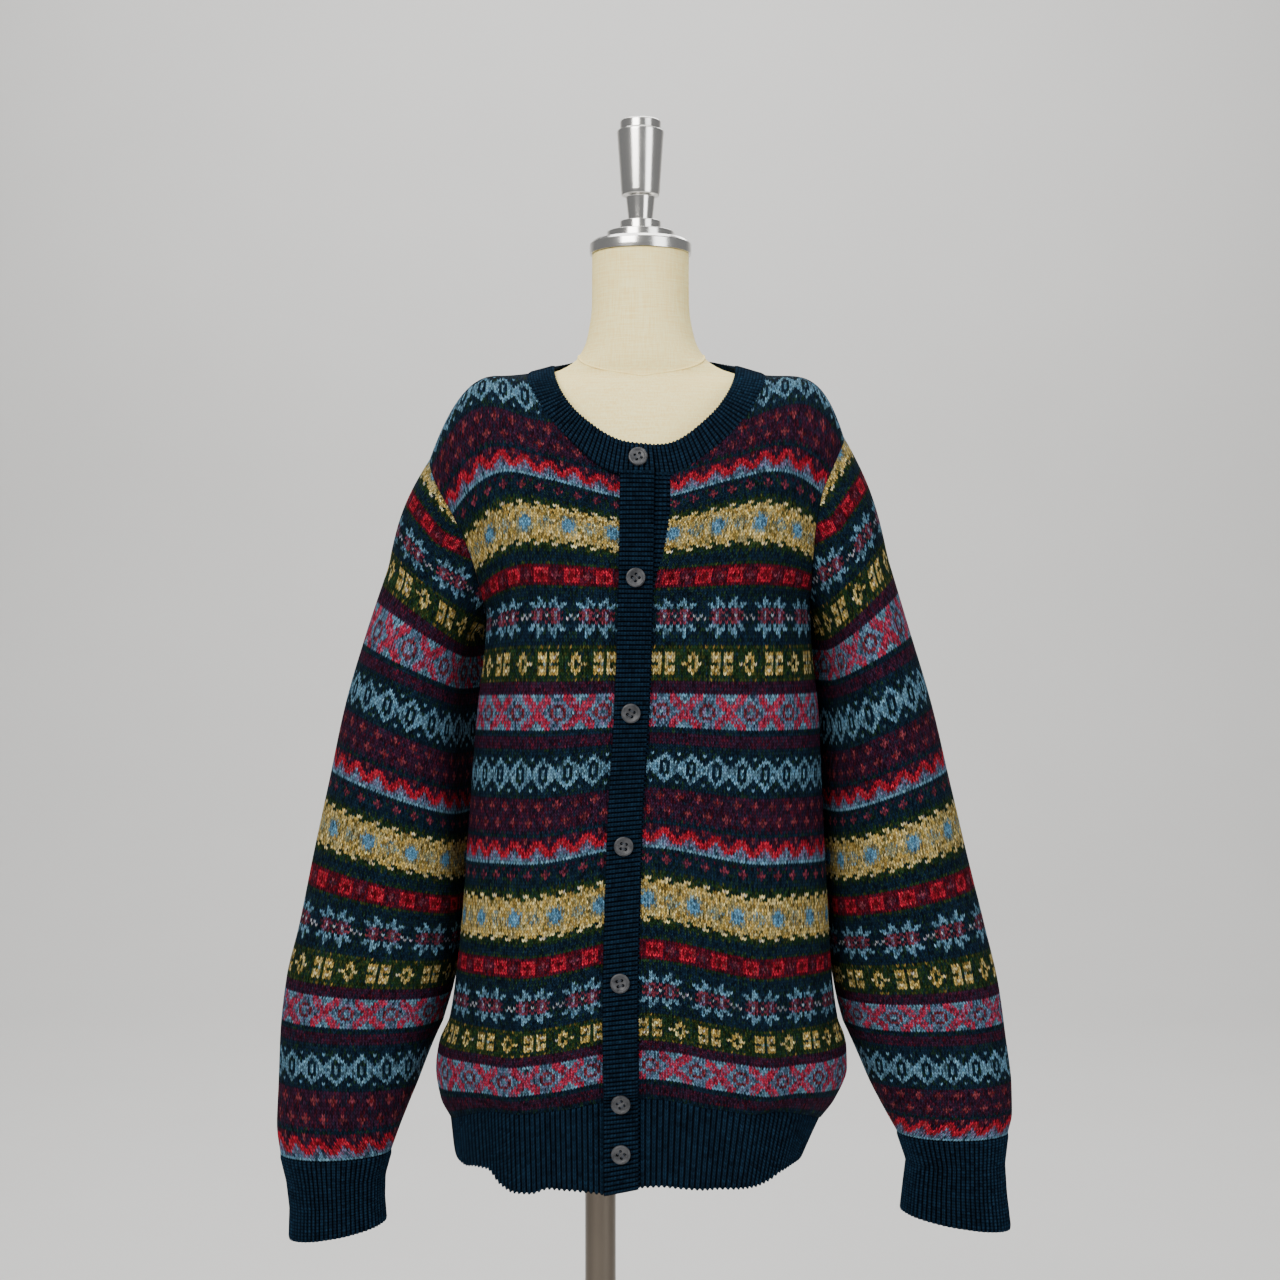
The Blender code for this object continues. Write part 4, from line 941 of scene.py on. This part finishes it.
def rib_piece(name, middle, normals, pitch, material, closed=False, seed=1):
    """A ribbed strip, closed round its cross-section, with ribs raised on its outside."""
    lap = 3 if closed else 0
    if closed:
        middle, normals = (np.concatenate([v[:, -lap:], v, v[:, :lap + 1]], axis=1)
                           for v in (middle, normals))
    at = lengths(middle[0])
    at = at - at[lap]
    ribs = max(2, round(at[-1 - lap] / pitch))
    at = at / at[-1 - lap]
    t = np.linspace(0, 1, PER_RIB * ribs + 1)
    keep = np.concatenate([[True], np.diff(at) > 1e-6])
    at, middle, normals = at[keep], middle[:, keep], normals[:, keep]

    def blend(values):
        lines = [[smooth_curve(at, line[:, k], t) for k in range(3)] for line in values]
        return np.stack(lines).transpose(0, 2, 1)
    lines, facing = blend(middle), unit(blend(normals))
    width = np.linalg.norm(lines[-1] - lines[0], axis=-1).mean()
    rows = max(4, round(width / RIB_STEP))
    keys = np.concatenate([[0], np.cumsum(np.linalg.norm(np.diff(lines, axis=0), axis=-1).mean(axis=1))])
    keys = keys / keys[-1]
    across = np.linspace(0, 1, rows + 1)

    def cross(values, where):
        lower = np.clip(np.searchsorted(keys, where, side="right") - 1, 0, len(keys) - 2)
        f = ((where - keys[lower]) / (keys[lower + 1] - keys[lower]))[:, None, None]
        return values[lower] * (1 - f) + values[lower + 1] * f
    outer, out_normals = cross(lines, across), unit(cross(facing, across))
    wave = -np.cos(2 * math.pi * ribs * t)
    rise = RIB_RISE * 1.5 * np.sign(wave) * np.abs(wave) ** .7
    edge = np.zeros(rows + 1)
    edge[[0, -1]] = RIB_EDGE
    outer = outer + out_normals * (rise[None, :, None] - edge[:, None, None])
    inner_at = np.array([1, .66, .33, 0])
    inner, in_normals = cross(lines, inner_at), unit(cross(facing, inner_at))
    sink = RIB_WALL - np.array([.0005, 0, 0, .0005])
    inner = inner - in_normals * sink[:, None, None]
    loop = np.concatenate([outer, inner])
    if closed:
        loop = loop[:, :-1]
    count, columns = loop.shape[:2]
    i, j = np.meshgrid(np.arange(count), np.arange(columns if closed else columns - 1), indexing="ij")
    i, j = i.ravel(), j.ravel()
    i2, j2 = (i + 1) % count, (j + 1) % columns
    quads = np.stack([i * columns + j, i * columns + j2, i2 * columns + j2, i2 * columns + j], axis=1)
    extra = []
    if not closed:
        extra = [tuple(n * columns for n in range(count))[::-1],
                 tuple(n * columns + columns - 1 for n in range(count))]
    # Painted shade and highlight: each corner's colour is darker in a furrow and lighter on a crest.
    shade = PAINTED_FURROW_SHADE + PAINTED_CREST_HIGHLIGHT * (wave * .5 + .5) ** 1.2
    stitch = np.random.default_rng(seed).standard_normal((count, ribs + 1))
    light = np.clip(1 + RIB_SPREAD * stitch[i, j // PER_RIB], *RIB_RANGE)
    # Painted shade: the strip's inner side is coloured darker than its outside.
    inner_side_shade = np.where(i < rows, 1.0, .7)
    onward = shade[j2 if closed else j + 1]
    corner = np.stack([shade[j], onward, onward, shade[j]], axis=1)
    colours = COLOURS[LETTERS["n"]] * (corner * (light * inner_side_shade)[:, None])[..., None]
    v = np.stack([i, i, i + 1, i + 1], axis=1)
    u = np.stack([j, j + 1, j + 1, j], axis=1) / PER_RIB
    uv = np.stack([u, v], axis=-1).reshape(-1, 2)
    piece = link_mesh(name, loop.reshape(-1, 3), quads, material, uv, colours.reshape(-1, 3), extra=extra)
    set_outward(piece)
    return piece


def set_outward(piece):
    """Turns a closed mesh's faces to the outside."""
    form = bmesh.new()
    form.from_mesh(piece.data)
    bmesh.ops.recalc_face_normals(form, faces=form.faces)
    form.to_mesh(piece.data)
    form.free()
    piece.data.shade_smooth()


def capped(name, points, rows, columns, material, sharp=None):
    """A closed body of rings of points, with a face over each end."""
    last = (rows - 1) * columns
    piece = link_mesh(name, points, np.array(sheet_faces(rows, columns, 0, True)), material,
                      extra=[tuple(range(columns)), tuple(range(last, last + columns))])
    set_outward(piece)
    if sharp:
        piece.data.set_sharp_from_angle(angle=math.radians(sharp))
    return piece


def circle(count):
    """Equal angles once round."""
    return np.linspace(0, 2 * math.pi, count, endpoint=False)


def turned(rings, x, segments):
    """Points of rings about an upright axis, each given by its radius and height."""
    return [(x + r * math.cos(a), r * math.sin(a), z) for r, z in rings for a in circle(segments)]


def lathe(name, profile, x, material, segments=96, bevel=.0006):
    """A body turned about an upright axis, its corners rounded."""
    rings = []
    for n, (r, z) in enumerate(profile):
        if 0 < n < len(profile) - 1 and bevel:
            before, after = np.array(profile[n - 1]), np.array(profile[n + 1])
            here = np.array((r, z))
            a, b = before - here, after - here
            cut = min(bevel, np.linalg.norm(a) * .4, np.linalg.norm(b) * .4)
            start, end = here + unit(a) * cut, here + unit(b) * cut
            for s in (0, .25, .5, .75, 1):
                rings.append((1 - s) ** 2 * start + 2 * s * (1 - s) * here + s * s * end)
        else:
            rings.append(np.array((r, z)))
    return capped(name, turned(rings, x, segments), len(rings), segments, material, sharp=50)


# ------------------------------------------------------------------ materials
class Nodes:
    """Short calls that add and join shader nodes."""

    def __init__(self, name):
        self.material = bpy.data.materials.new(name)
        self.material.use_nodes = True
        self.tree = self.material.node_tree
        self.shader = self.tree.nodes["Principled BSDF"]

    def add(self, kind, inputs=(), **settings):
        node = self.tree.nodes.new(kind)
        for key, value in settings.items():
            setattr(node, key, value)
        for key, value in dict(inputs).items():
            if isinstance(value, bpy.types.NodeSocket):
                self.tree.links.new(value, node.inputs[key])
            else:
                node.inputs[key].default_value = value
        return node

    def math(self, operation, a, b=0.0):
        return self.add("ShaderNodeMath", {0: a, 1: b}, operation=operation).outputs[0]

    def noise(self, scale, detail=2.0, where=None):
        inputs = {"Scale": scale, "Detail": detail}
        if where is not None:
            inputs["Vector"] = where
        return self.add("ShaderNodeTexNoise", inputs).outputs["Fac"]

    def streaks(self, place, scale, detail=2.0):
        """Noise drawn out by its own scale along each axis."""
        where = self.add("ShaderNodeMapping", {"Vector": place, "Scale": scale}).outputs[0]
        return self.noise(1.0, detail, where)

    def place(self):
        return self.add("ShaderNodeTexCoord").outputs["Object"]

    def ramp(self, value, low, high, to_low=0.0, to_high=1.0):
        return self.add("ShaderNodeMapRange", {"Value": value, "From Min": low, "From Max": high,
                                               "To Min": to_low, "To Max": to_high}).outputs[0]

    def scaled(self, colour, factor):
        grey = self.add("ShaderNodeCombineXYZ", {0: factor, 1: factor, 2: factor}).outputs[0]
        return self.mixed(1.0, colour, grey, blend_type="MULTIPLY")

    def mixed(self, factor, a, b, **settings):
        return self.add("ShaderNodeMix", {0: factor, 6: a, 7: b}, data_type="RGBA", **settings).outputs[2]

    def set(self, **values):
        for key, value in values.items():
            key = key.replace("_", " ")
            if isinstance(value, bpy.types.NodeSocket):
                self.tree.links.new(value, self.shader.inputs[key])
            else:
                self.shader.inputs[key].default_value = value

    def bump(self, height, strength, distance):
        inputs = {"Height": height, "Strength": strength, "Distance": distance}
        return self.add("ShaderNodeBump", inputs).outputs[0]


def wool(name, shear):
    """Worsted yarn in legs of stitches: rounded, plied and a little hairy."""
    n = Nodes(name)
    uv = n.add("ShaderNodeSeparateXYZ", {0: n.add("ShaderNodeUVMap", uv_map="stitches").outputs[0]})
    u, v = uv.outputs[0], uv.outputs[1]
    if shear:
        fold = n.math("ABSOLUTE", n.math("SUBTRACT", n.math("FRACT", u), .5))
        v = n.math("SUBTRACT", v, n.math("MULTIPLY", fold, 2 * shear))
    leg_u, leg_v = n.math("FRACT", n.math("MULTIPLY", u, 2.0)), n.math("FRACT", v)
    round_u = n.math("POWER", n.math("SINE", n.math("MULTIPLY", leg_u, math.pi)), .6)
    round_v = n.math("POWER", n.math("SINE", n.math("MULTIPLY", leg_v, math.pi)), .35)
    body = n.math("MULTIPLY", round_u, round_v)
    twist = n.math("ADD", n.math("MULTIPLY", leg_u, 1.2), leg_v)
    ply = n.math("SINE", n.math("MULTIPLY", twist, 4 * math.pi))
    height = n.math("ADD", body, n.math("MULTIPLY", ply, .10))
    place = n.place()
    hair = n.noise(2600.0, 3.0, place)
    cloud = n.noise(38.0, 2.0, place)
    height = n.math("ADD", height, n.math("MULTIPLY", hair, .35))
    colour = n.add("ShaderNodeAttribute", attribute_name="yarn").outputs["Color"]
    # Painted shade and highlight: the yarn colour is darkened between a stitch's legs and lightened on their
    # rounded crowns; cloud and hair vary its tone at random.
    dark = n.math("MULTIPLY", n.ramp(body, 0.1, .95, .22, 1.25), n.ramp(cloud, .3, .7, .92, 1.10))
    dark = n.math("MULTIPLY", dark, n.ramp(hair, .35, .65, .80, 1.22))
    n.set(Base_Color=n.scaled(colour, dark), Roughness=.95, Specular_IOR_Level=.04,
          Normal=n.bump(height, 1.0, .0013))
    return n.material


def wrong_side(name):
    """The inside of the knitting: strands carried across behind the stitches."""
    n = Nodes(name)
    place = n.place()
    strands = n.streaks(place, (60.0, 60.0, 420.0))
    hue = n.streaks(place, (2.0, 2.0, 34.0), 1.0)
    dark, warm, cool = (.016, .022, .040, 1), (.12, .05, .045, 1), (.06, .10, .15, 1)
    colour = n.mixed(n.ramp(hue, .45, .62), dark, warm)
    colour = n.mixed(n.ramp(hue, .38, .30), colour, cool)
    colour = n.mixed(n.ramp(strands, .42, .60, .0, .55), colour, dark)
    n.set(Base_Color=colour, Roughness=.95, Specular_IOR_Level=.15, Sheen_Weight=.15,
          Normal=n.bump(strands, .6, .0012))
    return n.material


def linen(name):
    """Unbleached linen cover: a plain weave with thick and thin threads."""
    n = Nodes(name)
    place = n.place()
    warp = n.streaks(place, (900.0, 900.0, 60.0))
    weft = n.streaks(place, (60.0, 60.0, 1100.0))
    cloud = n.noise(14.0, 3.0, place)
    threads = n.math("ADD", n.math("MULTIPLY", warp, .5), n.math("MULTIPLY", weft, .5))
    colour = n.mixed(n.ramp(threads, .38, .62), (.93, .71, .27, 1), (1.0, .89, .43, 1))
    colour = n.mixed(n.ramp(cloud, .35, .7, 0, .35), colour, (.98, .80, .36, 1))
    n.set(Base_Color=colour, Roughness=.88, Specular_IOR_Level=.12, Sheen_Weight=.02,
          Normal=n.bump(threads, .45, .0006))
    return n.material


def metal(name, colour, rough, brushed):
    """Bare metal, turned or brushed round its axis, a little smudged."""
    n = Nodes(name)
    place = n.place()
    lines = n.streaks(place, (30.0, 30.0, 1400.0))
    smudge = n.noise(24.0, 3.0, place)
    dull = n.ramp(smudge, .3, .7, rough, rough * 1.5)
    n.set(Base_Color=(*colour, 1), Metallic=1.0,
          Roughness=n.math("ADD", dull, n.math("MULTIPLY", lines, brushed)),
          Normal=n.bump(lines, brushed * 1.2, .0002))
    return n.material


def button_horn(name):
    """Dark grey button with soft clouding and a satin face."""
    n = Nodes(name)
    place = n.place()
    cloud, fleck = n.noise(160.0, 4.0, place), n.noise(900.0, 2.0, place)
    colour = n.mixed(n.ramp(cloud, .35, .65), (.014, .015, .018, 1), (.050, .051, .055, 1))
    colour = n.mixed(n.ramp(fleck, .62, .72, 0, .5), colour, (.10, .10, .10, 1))
    n.set(Base_Color=colour, Specular_IOR_Level=.35, Roughness=n.ramp(cloud, .3, .7, .38, .50),
          Normal=n.bump(fleck, .15, .0002))
    return n.material


def thread(name):
    """Dark blue sewing thread."""
    n = Nodes(name)
    twist = n.noise(1800.0, 2.0, n.place())
    n.set(Base_Color=n.mixed(twist, (.010, .016, .028, 1), (.05, .06, .08, 1)), Roughness=.8,
          Normal=n.bump(twist, .5, .0003))
    return n.material


def plaster(name, colour):
    """The studio's matt floor and wall."""
    n = Nodes(name)
    cloud, grain = n.noise(1.6, 4.0, n.place()), n.noise(160.0, 2.0, n.place())
    low = tuple(c * .93 for c in colour)
    n.set(Base_Color=n.mixed(cloud, (*low, 1), (*colour, 1)), Roughness=.9, Normal=n.bump(grain, .08, .002))
    return n.material


# ------------------------------------------------------------------ pieces
def make_disc(name, material):
    """A turned button with a raised rim and four holes, facing +Z."""
    r, t = BUTTON_RADIUS, BUTTON_THICK
    profile = [(r * .58, 0), (r * .90, t * .18), (r, t * .52), (r * .965, t * .9), (r * .90, t), (r * .80, t),
               (r * .72, t * .90), (r * .62, t * .74), (r * .3, t * BUTTON_FACE)]
    disc = capped(name, turned(profile, 0, BUTTON_SIDES), len(profile), BUTTON_SIDES, material)
    form = bmesh.new()
    for sx in (-1, 1):
        for sy in (-1, 1):
            place = Matrix.Translation((sx * HOLE_PLACE, sy * HOLE_PLACE, t / 2))
            bmesh.ops.create_cone(form, cap_ends=True, segments=14, radius1=HOLE_RADIUS, radius2=HOLE_RADIUS,
                                  depth=t * 2, matrix=place)
    cutter_mesh = bpy.data.meshes.new("holes")
    form.to_mesh(cutter_mesh)
    form.free()
    cutter = put("holes", cutter_mesh)
    cut = disc.modifiers.new("holes", "BOOLEAN")
    cut.object, cut.operation, cut.solver = cutter, "DIFFERENCE", "EXACT"
    bpy.context.view_layer.update()
    mesh = bpy.data.meshes.new_from_object(disc.evaluated_get(bpy.context.evaluated_depsgraph_get()))
    disc.modifiers.clear()
    disc.data = mesh
    mesh.shade_smooth()
    mesh.set_sharp_from_angle(angle=math.radians(38))
    bpy.data.objects.remove(cutter)
    return mesh


def tube(name, path, radius, material, sides=8, closed=False):
    """A round thread along a path."""
    path = np.asarray(path, float)
    if closed:
        forward = unit(np.roll(path, -1, axis=0) - np.roll(path, 1, axis=0))
    else:
        forward = unit(np.gradient(path, axis=0))
    helper = np.where(np.abs(forward[:, 2:3]) > .9, [[1.0, 0, 0]], [[0, 0, 1.0]])
    one = unit(np.cross(forward, helper))
    two = np.cross(forward, one)
    angles = circle(sides)
    points = path[:, None] + radius * (np.cos(angles)[None, :, None] * one[:, None]
                                       + np.sin(angles)[None, :, None] * two[:, None])
    points = points.reshape(-1, 3)
    if not closed:
        return capped(name, points, len(path), sides, material)
    faces = np.array(sheet_faces(len(path) + 1, sides, 0, True)) % len(points)
    piece = link_mesh(name, points, faces, material)
    set_outward(piece)
    return piece


def sew_button(number, place, normal, disc, cotton):
    """A button on its band, its four holes sewn with two stitches side by side."""
    turn = Vector((0, 0, 1)).rotation_difference(Vector(normal)).to_matrix().to_4x4()
    spin = Matrix.Translation(Vector(place)) @ turn @ Matrix.Rotation(.35 * number, 4, "Z")
    mesh = disc.copy()
    mesh.transform(spin)
    button = put(f"button_{number}_disc", mesh)
    top = BUTTON_THICK * BUTTON_FACE
    for n, (a, b) in enumerate((((-1, -1), (-1, 1)), ((1, -1), (1, 1)))):
        start, end = np.array(a) * HOLE_PLACE, np.array(b) * HOLE_PLACE
        path = []
        for t in np.linspace(0, 1, 13):
            lift = top - .0012 + .0015 * math.sin(math.pi * t) ** .5
            flat = start + (end - start) * t
            path.append(tuple(spin @ Vector((flat[0], flat[1], lift))))
        stitch = tube(f"button_{number}_thread_{n + 1}", path, THREAD_RADIUS, cotton, sides=6)
        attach(stitch, "root")
    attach(button, "root")
    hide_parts(f"button_{number}")


def form_outline(angles, z, inset=0.0):
    """Points of the form's surface at angles round it and at a height."""
    half, front, back, power = (FORM.at(c, z) for c in ("half_x", "front", "back", "power"))
    lean = (NECK_X - CENTRE_X) * smooth_step((z - 1.28) / .10)
    c, s = np.cos(angles), np.sin(angles)
    x = CENTRE_X + lean + (half - inset) * np.copysign(np.abs(c) ** (2 / power), c)
    y = (np.where(s > 0, back, front) - inset) * np.copysign(np.abs(s) ** (2 / power), s)
    return np.stack([x, y, np.broadcast_to(z, x.shape)], axis=-1)


def smooth_form(material):
    """The form's covered torso, with finer sections than the solid."""
    heights = np.concatenate([np.linspace(FORM_BOTTOM, 1.24, 46)[:-1], np.linspace(1.24, 1.426, 64)])
    angles = circle(120)
    points = np.concatenate([form_outline(angles, z, .0004) for z in heights])
    return capped("form_linen", points, len(heights), len(angles), material, sharp=60)


def form_seam(name, material):
    """A raised seam round the foot of the form's neck, lower at the front."""
    angles = circle(72)
    z = 1.332 + .010 * np.abs(np.cos(angles)) - .012 * np.maximum(0, -np.sin(angles))
    return tube(name, form_outline(angles, z), .0007, material, closed=True)


def make_studio():
    """Pale floor that sweeps up into a pale wall well behind, so that every side can be seen."""
    wall, bend = 6.0, 1.8
    turns = np.linspace(0, math.pi / 2, 24)
    profile = [(-wall, 0)] + [(wall - bend + bend * math.sin(a), bend - bend * math.cos(a)) for a in turns]
    profile.append((wall, 6.0))
    points = [(x, y, z - .0005) for y, z in profile for x in (-7.0, 7.0)]
    sweep = link_mesh("studio_floor", points, np.array(sheet_faces(len(profile), 2, 0, False)),
                      plaster("studio_pale", (.74, .73, .71)))


def area_light(name, place, aim, size, power, colour=(1, 1, 1)):
    """A rectangular lamp turned toward a place."""
    light = bpy.data.lights.new(name, "AREA")
    light.shape, light.size, light.size_y = "RECTANGLE", size[0], size[1]
    light.energy, light.color = power, colour
    lamp = put(name, light)
    lamp.location = place
    lamp.rotation_euler = (Vector(aim) - Vector(place)).to_track_quat("-Z", "Y").to_euler()


def make_light():
    """A large soft key from the upper left, a fill from the right, and soft light from above and behind."""
    area_light("key", (-1.3, -2.6, 2.6), (.03, 0, 1.0), (1.8, 1.8), 140, (1, .985, .96))
    area_light("fill", (2.2, -2.2, 1.6), (.03, 0, .95), (1.6, 2.2), 56, (.97, .985, 1))
    area_light("top", (0, .2, 3.3), (.03, 0, 1.0), (2.2, 1.6), 55)
    area_light("back_fill", (.5, 2.3, 3.3), (.03, 0, 1.0), (1.8, 1.2), 45)
    area_light("wall_wash", (0, 3.0, 4.4), (0, 6.0, 1.2), (5.0, 1.2), 190)
    world = bpy.data.worlds.new("studio_air")
    world.use_nodes = True
    world.node_tree.nodes["Background"].inputs[0].default_value = (.82, .83, .85, 1)
    world.node_tree.nodes["Background"].inputs[1].default_value = .30
    bpy.context.scene.world = world


def make_camera():
    """The photo's view: square to the front, a little right of the pole, at chest height."""
    across, distance = 1.0752, 1.7     # what the frame takes in at the middle plane, and how far off
    camera = bpy.data.cameras.new("camera")
    camera.sensor_fit, camera.sensor_width = "HORIZONTAL", 36.0
    camera.angle = 2 * math.atan(.5 * across / distance)
    eye = put("camera", camera)
    eye.location, eye.rotation_euler = (.0332, -distance, 1.103), (math.pi / 2, 0, 0)
    bpy.context.scene.camera = eye


def carry(piece, slot, *nodes):
    """Puts a piece on the one body and hides the solids that it stands for; its slot is not used."""
    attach(piece, "root")
    if nodes:
        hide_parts(*nodes)
    return piece


def make_cardigan():
    """The knitted panels, then the ribs, then the buttons."""
    knit, rib = wool("knit_yarn", 0), wool("rib_yarn", .35)
    wrong = wrong_side("knit_inside")
    horn, cotton = button_horn("button_face"), thread("button_thread")

    def ribbed(node, middle, facing, seed, pitch=RIB_PITCH, closed=False):
        piece = rib_piece(node + "_rib", middle, facing, pitch, rib, closed=closed, seed=seed)
        return carry(piece, "navy_rib", node)

    fronts = {side: front_grid(side) for side in (-1, 1)}
    back = back_grid()
    sleeves = {}
    for name, side in SIDES.items():
        grid, normals, phi = sleeve_grid(name, fronts, back)
        share_armhole_normals(fronts, back, side, normals[0])
        sleeves[name] = (grid, normals, phi)
    collar, collar_normals = neck_band(fronts, back)

    for name, side in SIDES.items():
        panel = knit_front(f"front_{name}_knit", side, 10 + side, knit)
        carry(panel, "patterned_knit", "front_" + name)
        lining = carry(inside_piece(f"front_{name}_inside", *fronts[side], wrong), "patterned_knit")
        grid, normals, phi = sleeves[name]
        tube_piece = knit_sleeve(name, fronts, back, 20 + side, knit)
        carry(tube_piece, "patterned_knit", "sleeve_" + name)
        lining = inside_piece(f"sleeve_{name}_inside", grid, normals, wrong, closed=True)
        carry(lining, "patterned_knit")
        rings = [grid[-1] - np.array([0, 0, SEAM_GAP])] + [ring(row[1:], phi, side) for row in CUFFS[name]]
        cuff = np.array(rings)
        cuff_normals = grid_normals(cuff, closed=True)
        if np.sum(cuff_normals[1] * (cuff[1] - cuff[1].mean(axis=0))) < 0:
            cuff_normals = -cuff_normals
        cuff_normals[0] = normals[-1]
        piece = ribbed("cuff_" + name, cuff, cuff_normals, 30 + side, closed=True)
    panel = carry(knit_back(12, knit), "patterned_knit", "back")
    lining = carry(inside_piece("back_inside", *back, wrong), "patterned_knit")
    piece = ribbed("neckband", collar, collar_normals, 40)

    plackets = {}
    for name, side in SIDES.items():
        grid, normals = fronts[side]
        feet = hem_foot("front", share_at(grid[0, :, 0] - CENTRE_X, 0.0))
        feet[-1, 1] = -SEAM_GAP / 2
        feet[0, 0] = CENTRE_X + placket_edge(side, HEM["z_front"])
        middle = np.stack([feet, grid[0] - np.array([0, 0, SEAM_GAP])])
        piece = ribbed("hem_" + name, middle, np.stack([normals[0]] * 2), 50 + side)
        plackets[name] = placket_line(grid, feet[0])
    grid, normals = back
    feet = hem_foot("back", share_at(grid[0, :, 0] - CENTRE_X, 0.0))
    feet[[0, -1], 1] = SEAM_GAP / 2
    middle = np.stack([feet, grid[0] - np.array([0, 0, SEAM_GAP])])
    piece = ribbed("hem_back", middle, np.stack([normals[0]] * 2), 53)

    top, top_normals = band_strip(plackets["right"], plackets["left"], 2 * BAND_HALF, BAND_LIFT)
    below, below_normals = band_strip(plackets["right"], plackets["left"], None, 0)
    piece = ribbed("button_band", top, top_normals, 60, pitch=BAND_RIB_PITCH)
    piece = ribbed("under_band", below[:, ::-1], below_normals[:, ::-1], 61, pitch=BAND_RIB_PITCH)

    disc = make_disc("button_master", horn)
    bpy.data.objects.remove(bpy.data.objects["button_master"])
    lap = (collar[0, 0] + collar[1, 0] + collar[0, 1] + collar[1, 1]) / 4
    lap_normal = unit(collar_normals[0, 0] + collar_normals[1, 1])
    sew_button(1, lap + lap_normal * (RIB_RISE + 2 * SEAM_GAP), lap_normal, disc, cotton)
    for number, z in enumerate(BUTTON_HEIGHTS, start=2):
        places = [points_at(z, edge[:, 2], edge) for edge in top]
        facing = [points_at(z, edge[:, 2], n) for edge, n in zip(top, top_normals)]
        normal = unit(facing[0] + facing[1])
        place = (places[0] + places[1]) / 2
        seat = highest(top, place, normal, BUTTON_RADIUS * .6) + RIB_RISE + SEAM_GAP
        sew_button(number, place + normal * seat, normal, disc, cotton)


def make_stand():
    """The linen-covered form, the turned metal above its neck, and the pole with its base."""
    cover = linen("linen_cover")
    steel = metal("satin_steel", (.74, .725, .69), .13, .07)
    # Painted reflection: the pole and collar metal is coloured a dark brown-grey, standing in for the dim
    # surroundings that chrome mirrors.
    chrome = metal("pole_chrome", (.13, .11, .09), .16, .01)
    carry(smooth_form(cover), "cream_linen", "form_torso")
    carry(form_seam("neck_seam", cover), "cream_linen")
    carry(lathe("neck_cap_turned", CAP_PROFILE, NECK_X, steel), "brushed_steel", "neck_cap")
    carry(lathe("finial_turned", FINIAL_PROFILE, NECK_X, steel), "brushed_steel", "finial")
    foot, inner = BASE_THICK + SEAM_GAP, POLE_RADIUS + .0002
    shaft = [(POLE_RADIUS, foot), (POLE_RADIUS, FORM_BOTTOM - SEAM_GAP)]
    carry(lathe("pole_tube", shaft, 0.0, chrome, bevel=0), "chrome", "pole")
    collar = [(inner, foot), (COLLAR_RADIUS, foot), (COLLAR_RADIUS, foot + COLLAR_HEIGHT * .8),
              (COLLAR_RADIUS * .85, foot + COLLAR_HEIGHT), (inner, foot + COLLAR_HEIGHT)]
    carry(lathe("base_collar_turned", collar, 0.0, chrome, bevel=.0012), "chrome", "base_collar")
    rim, edge = BASE_RADIUS - BASE_EDGE, BASE_THICK - BASE_EDGE
    plate = [(rim, 0), (BASE_RADIUS, BASE_EDGE), (BASE_RADIUS, edge), (rim, BASE_THICK)]
    carry(lathe("base_plate_turned", plate, 0.0, steel, segments=160), "brushed_steel", "base_plate")


make_camera()
make_light()
make_studio()
make_cardigan()
make_stand()
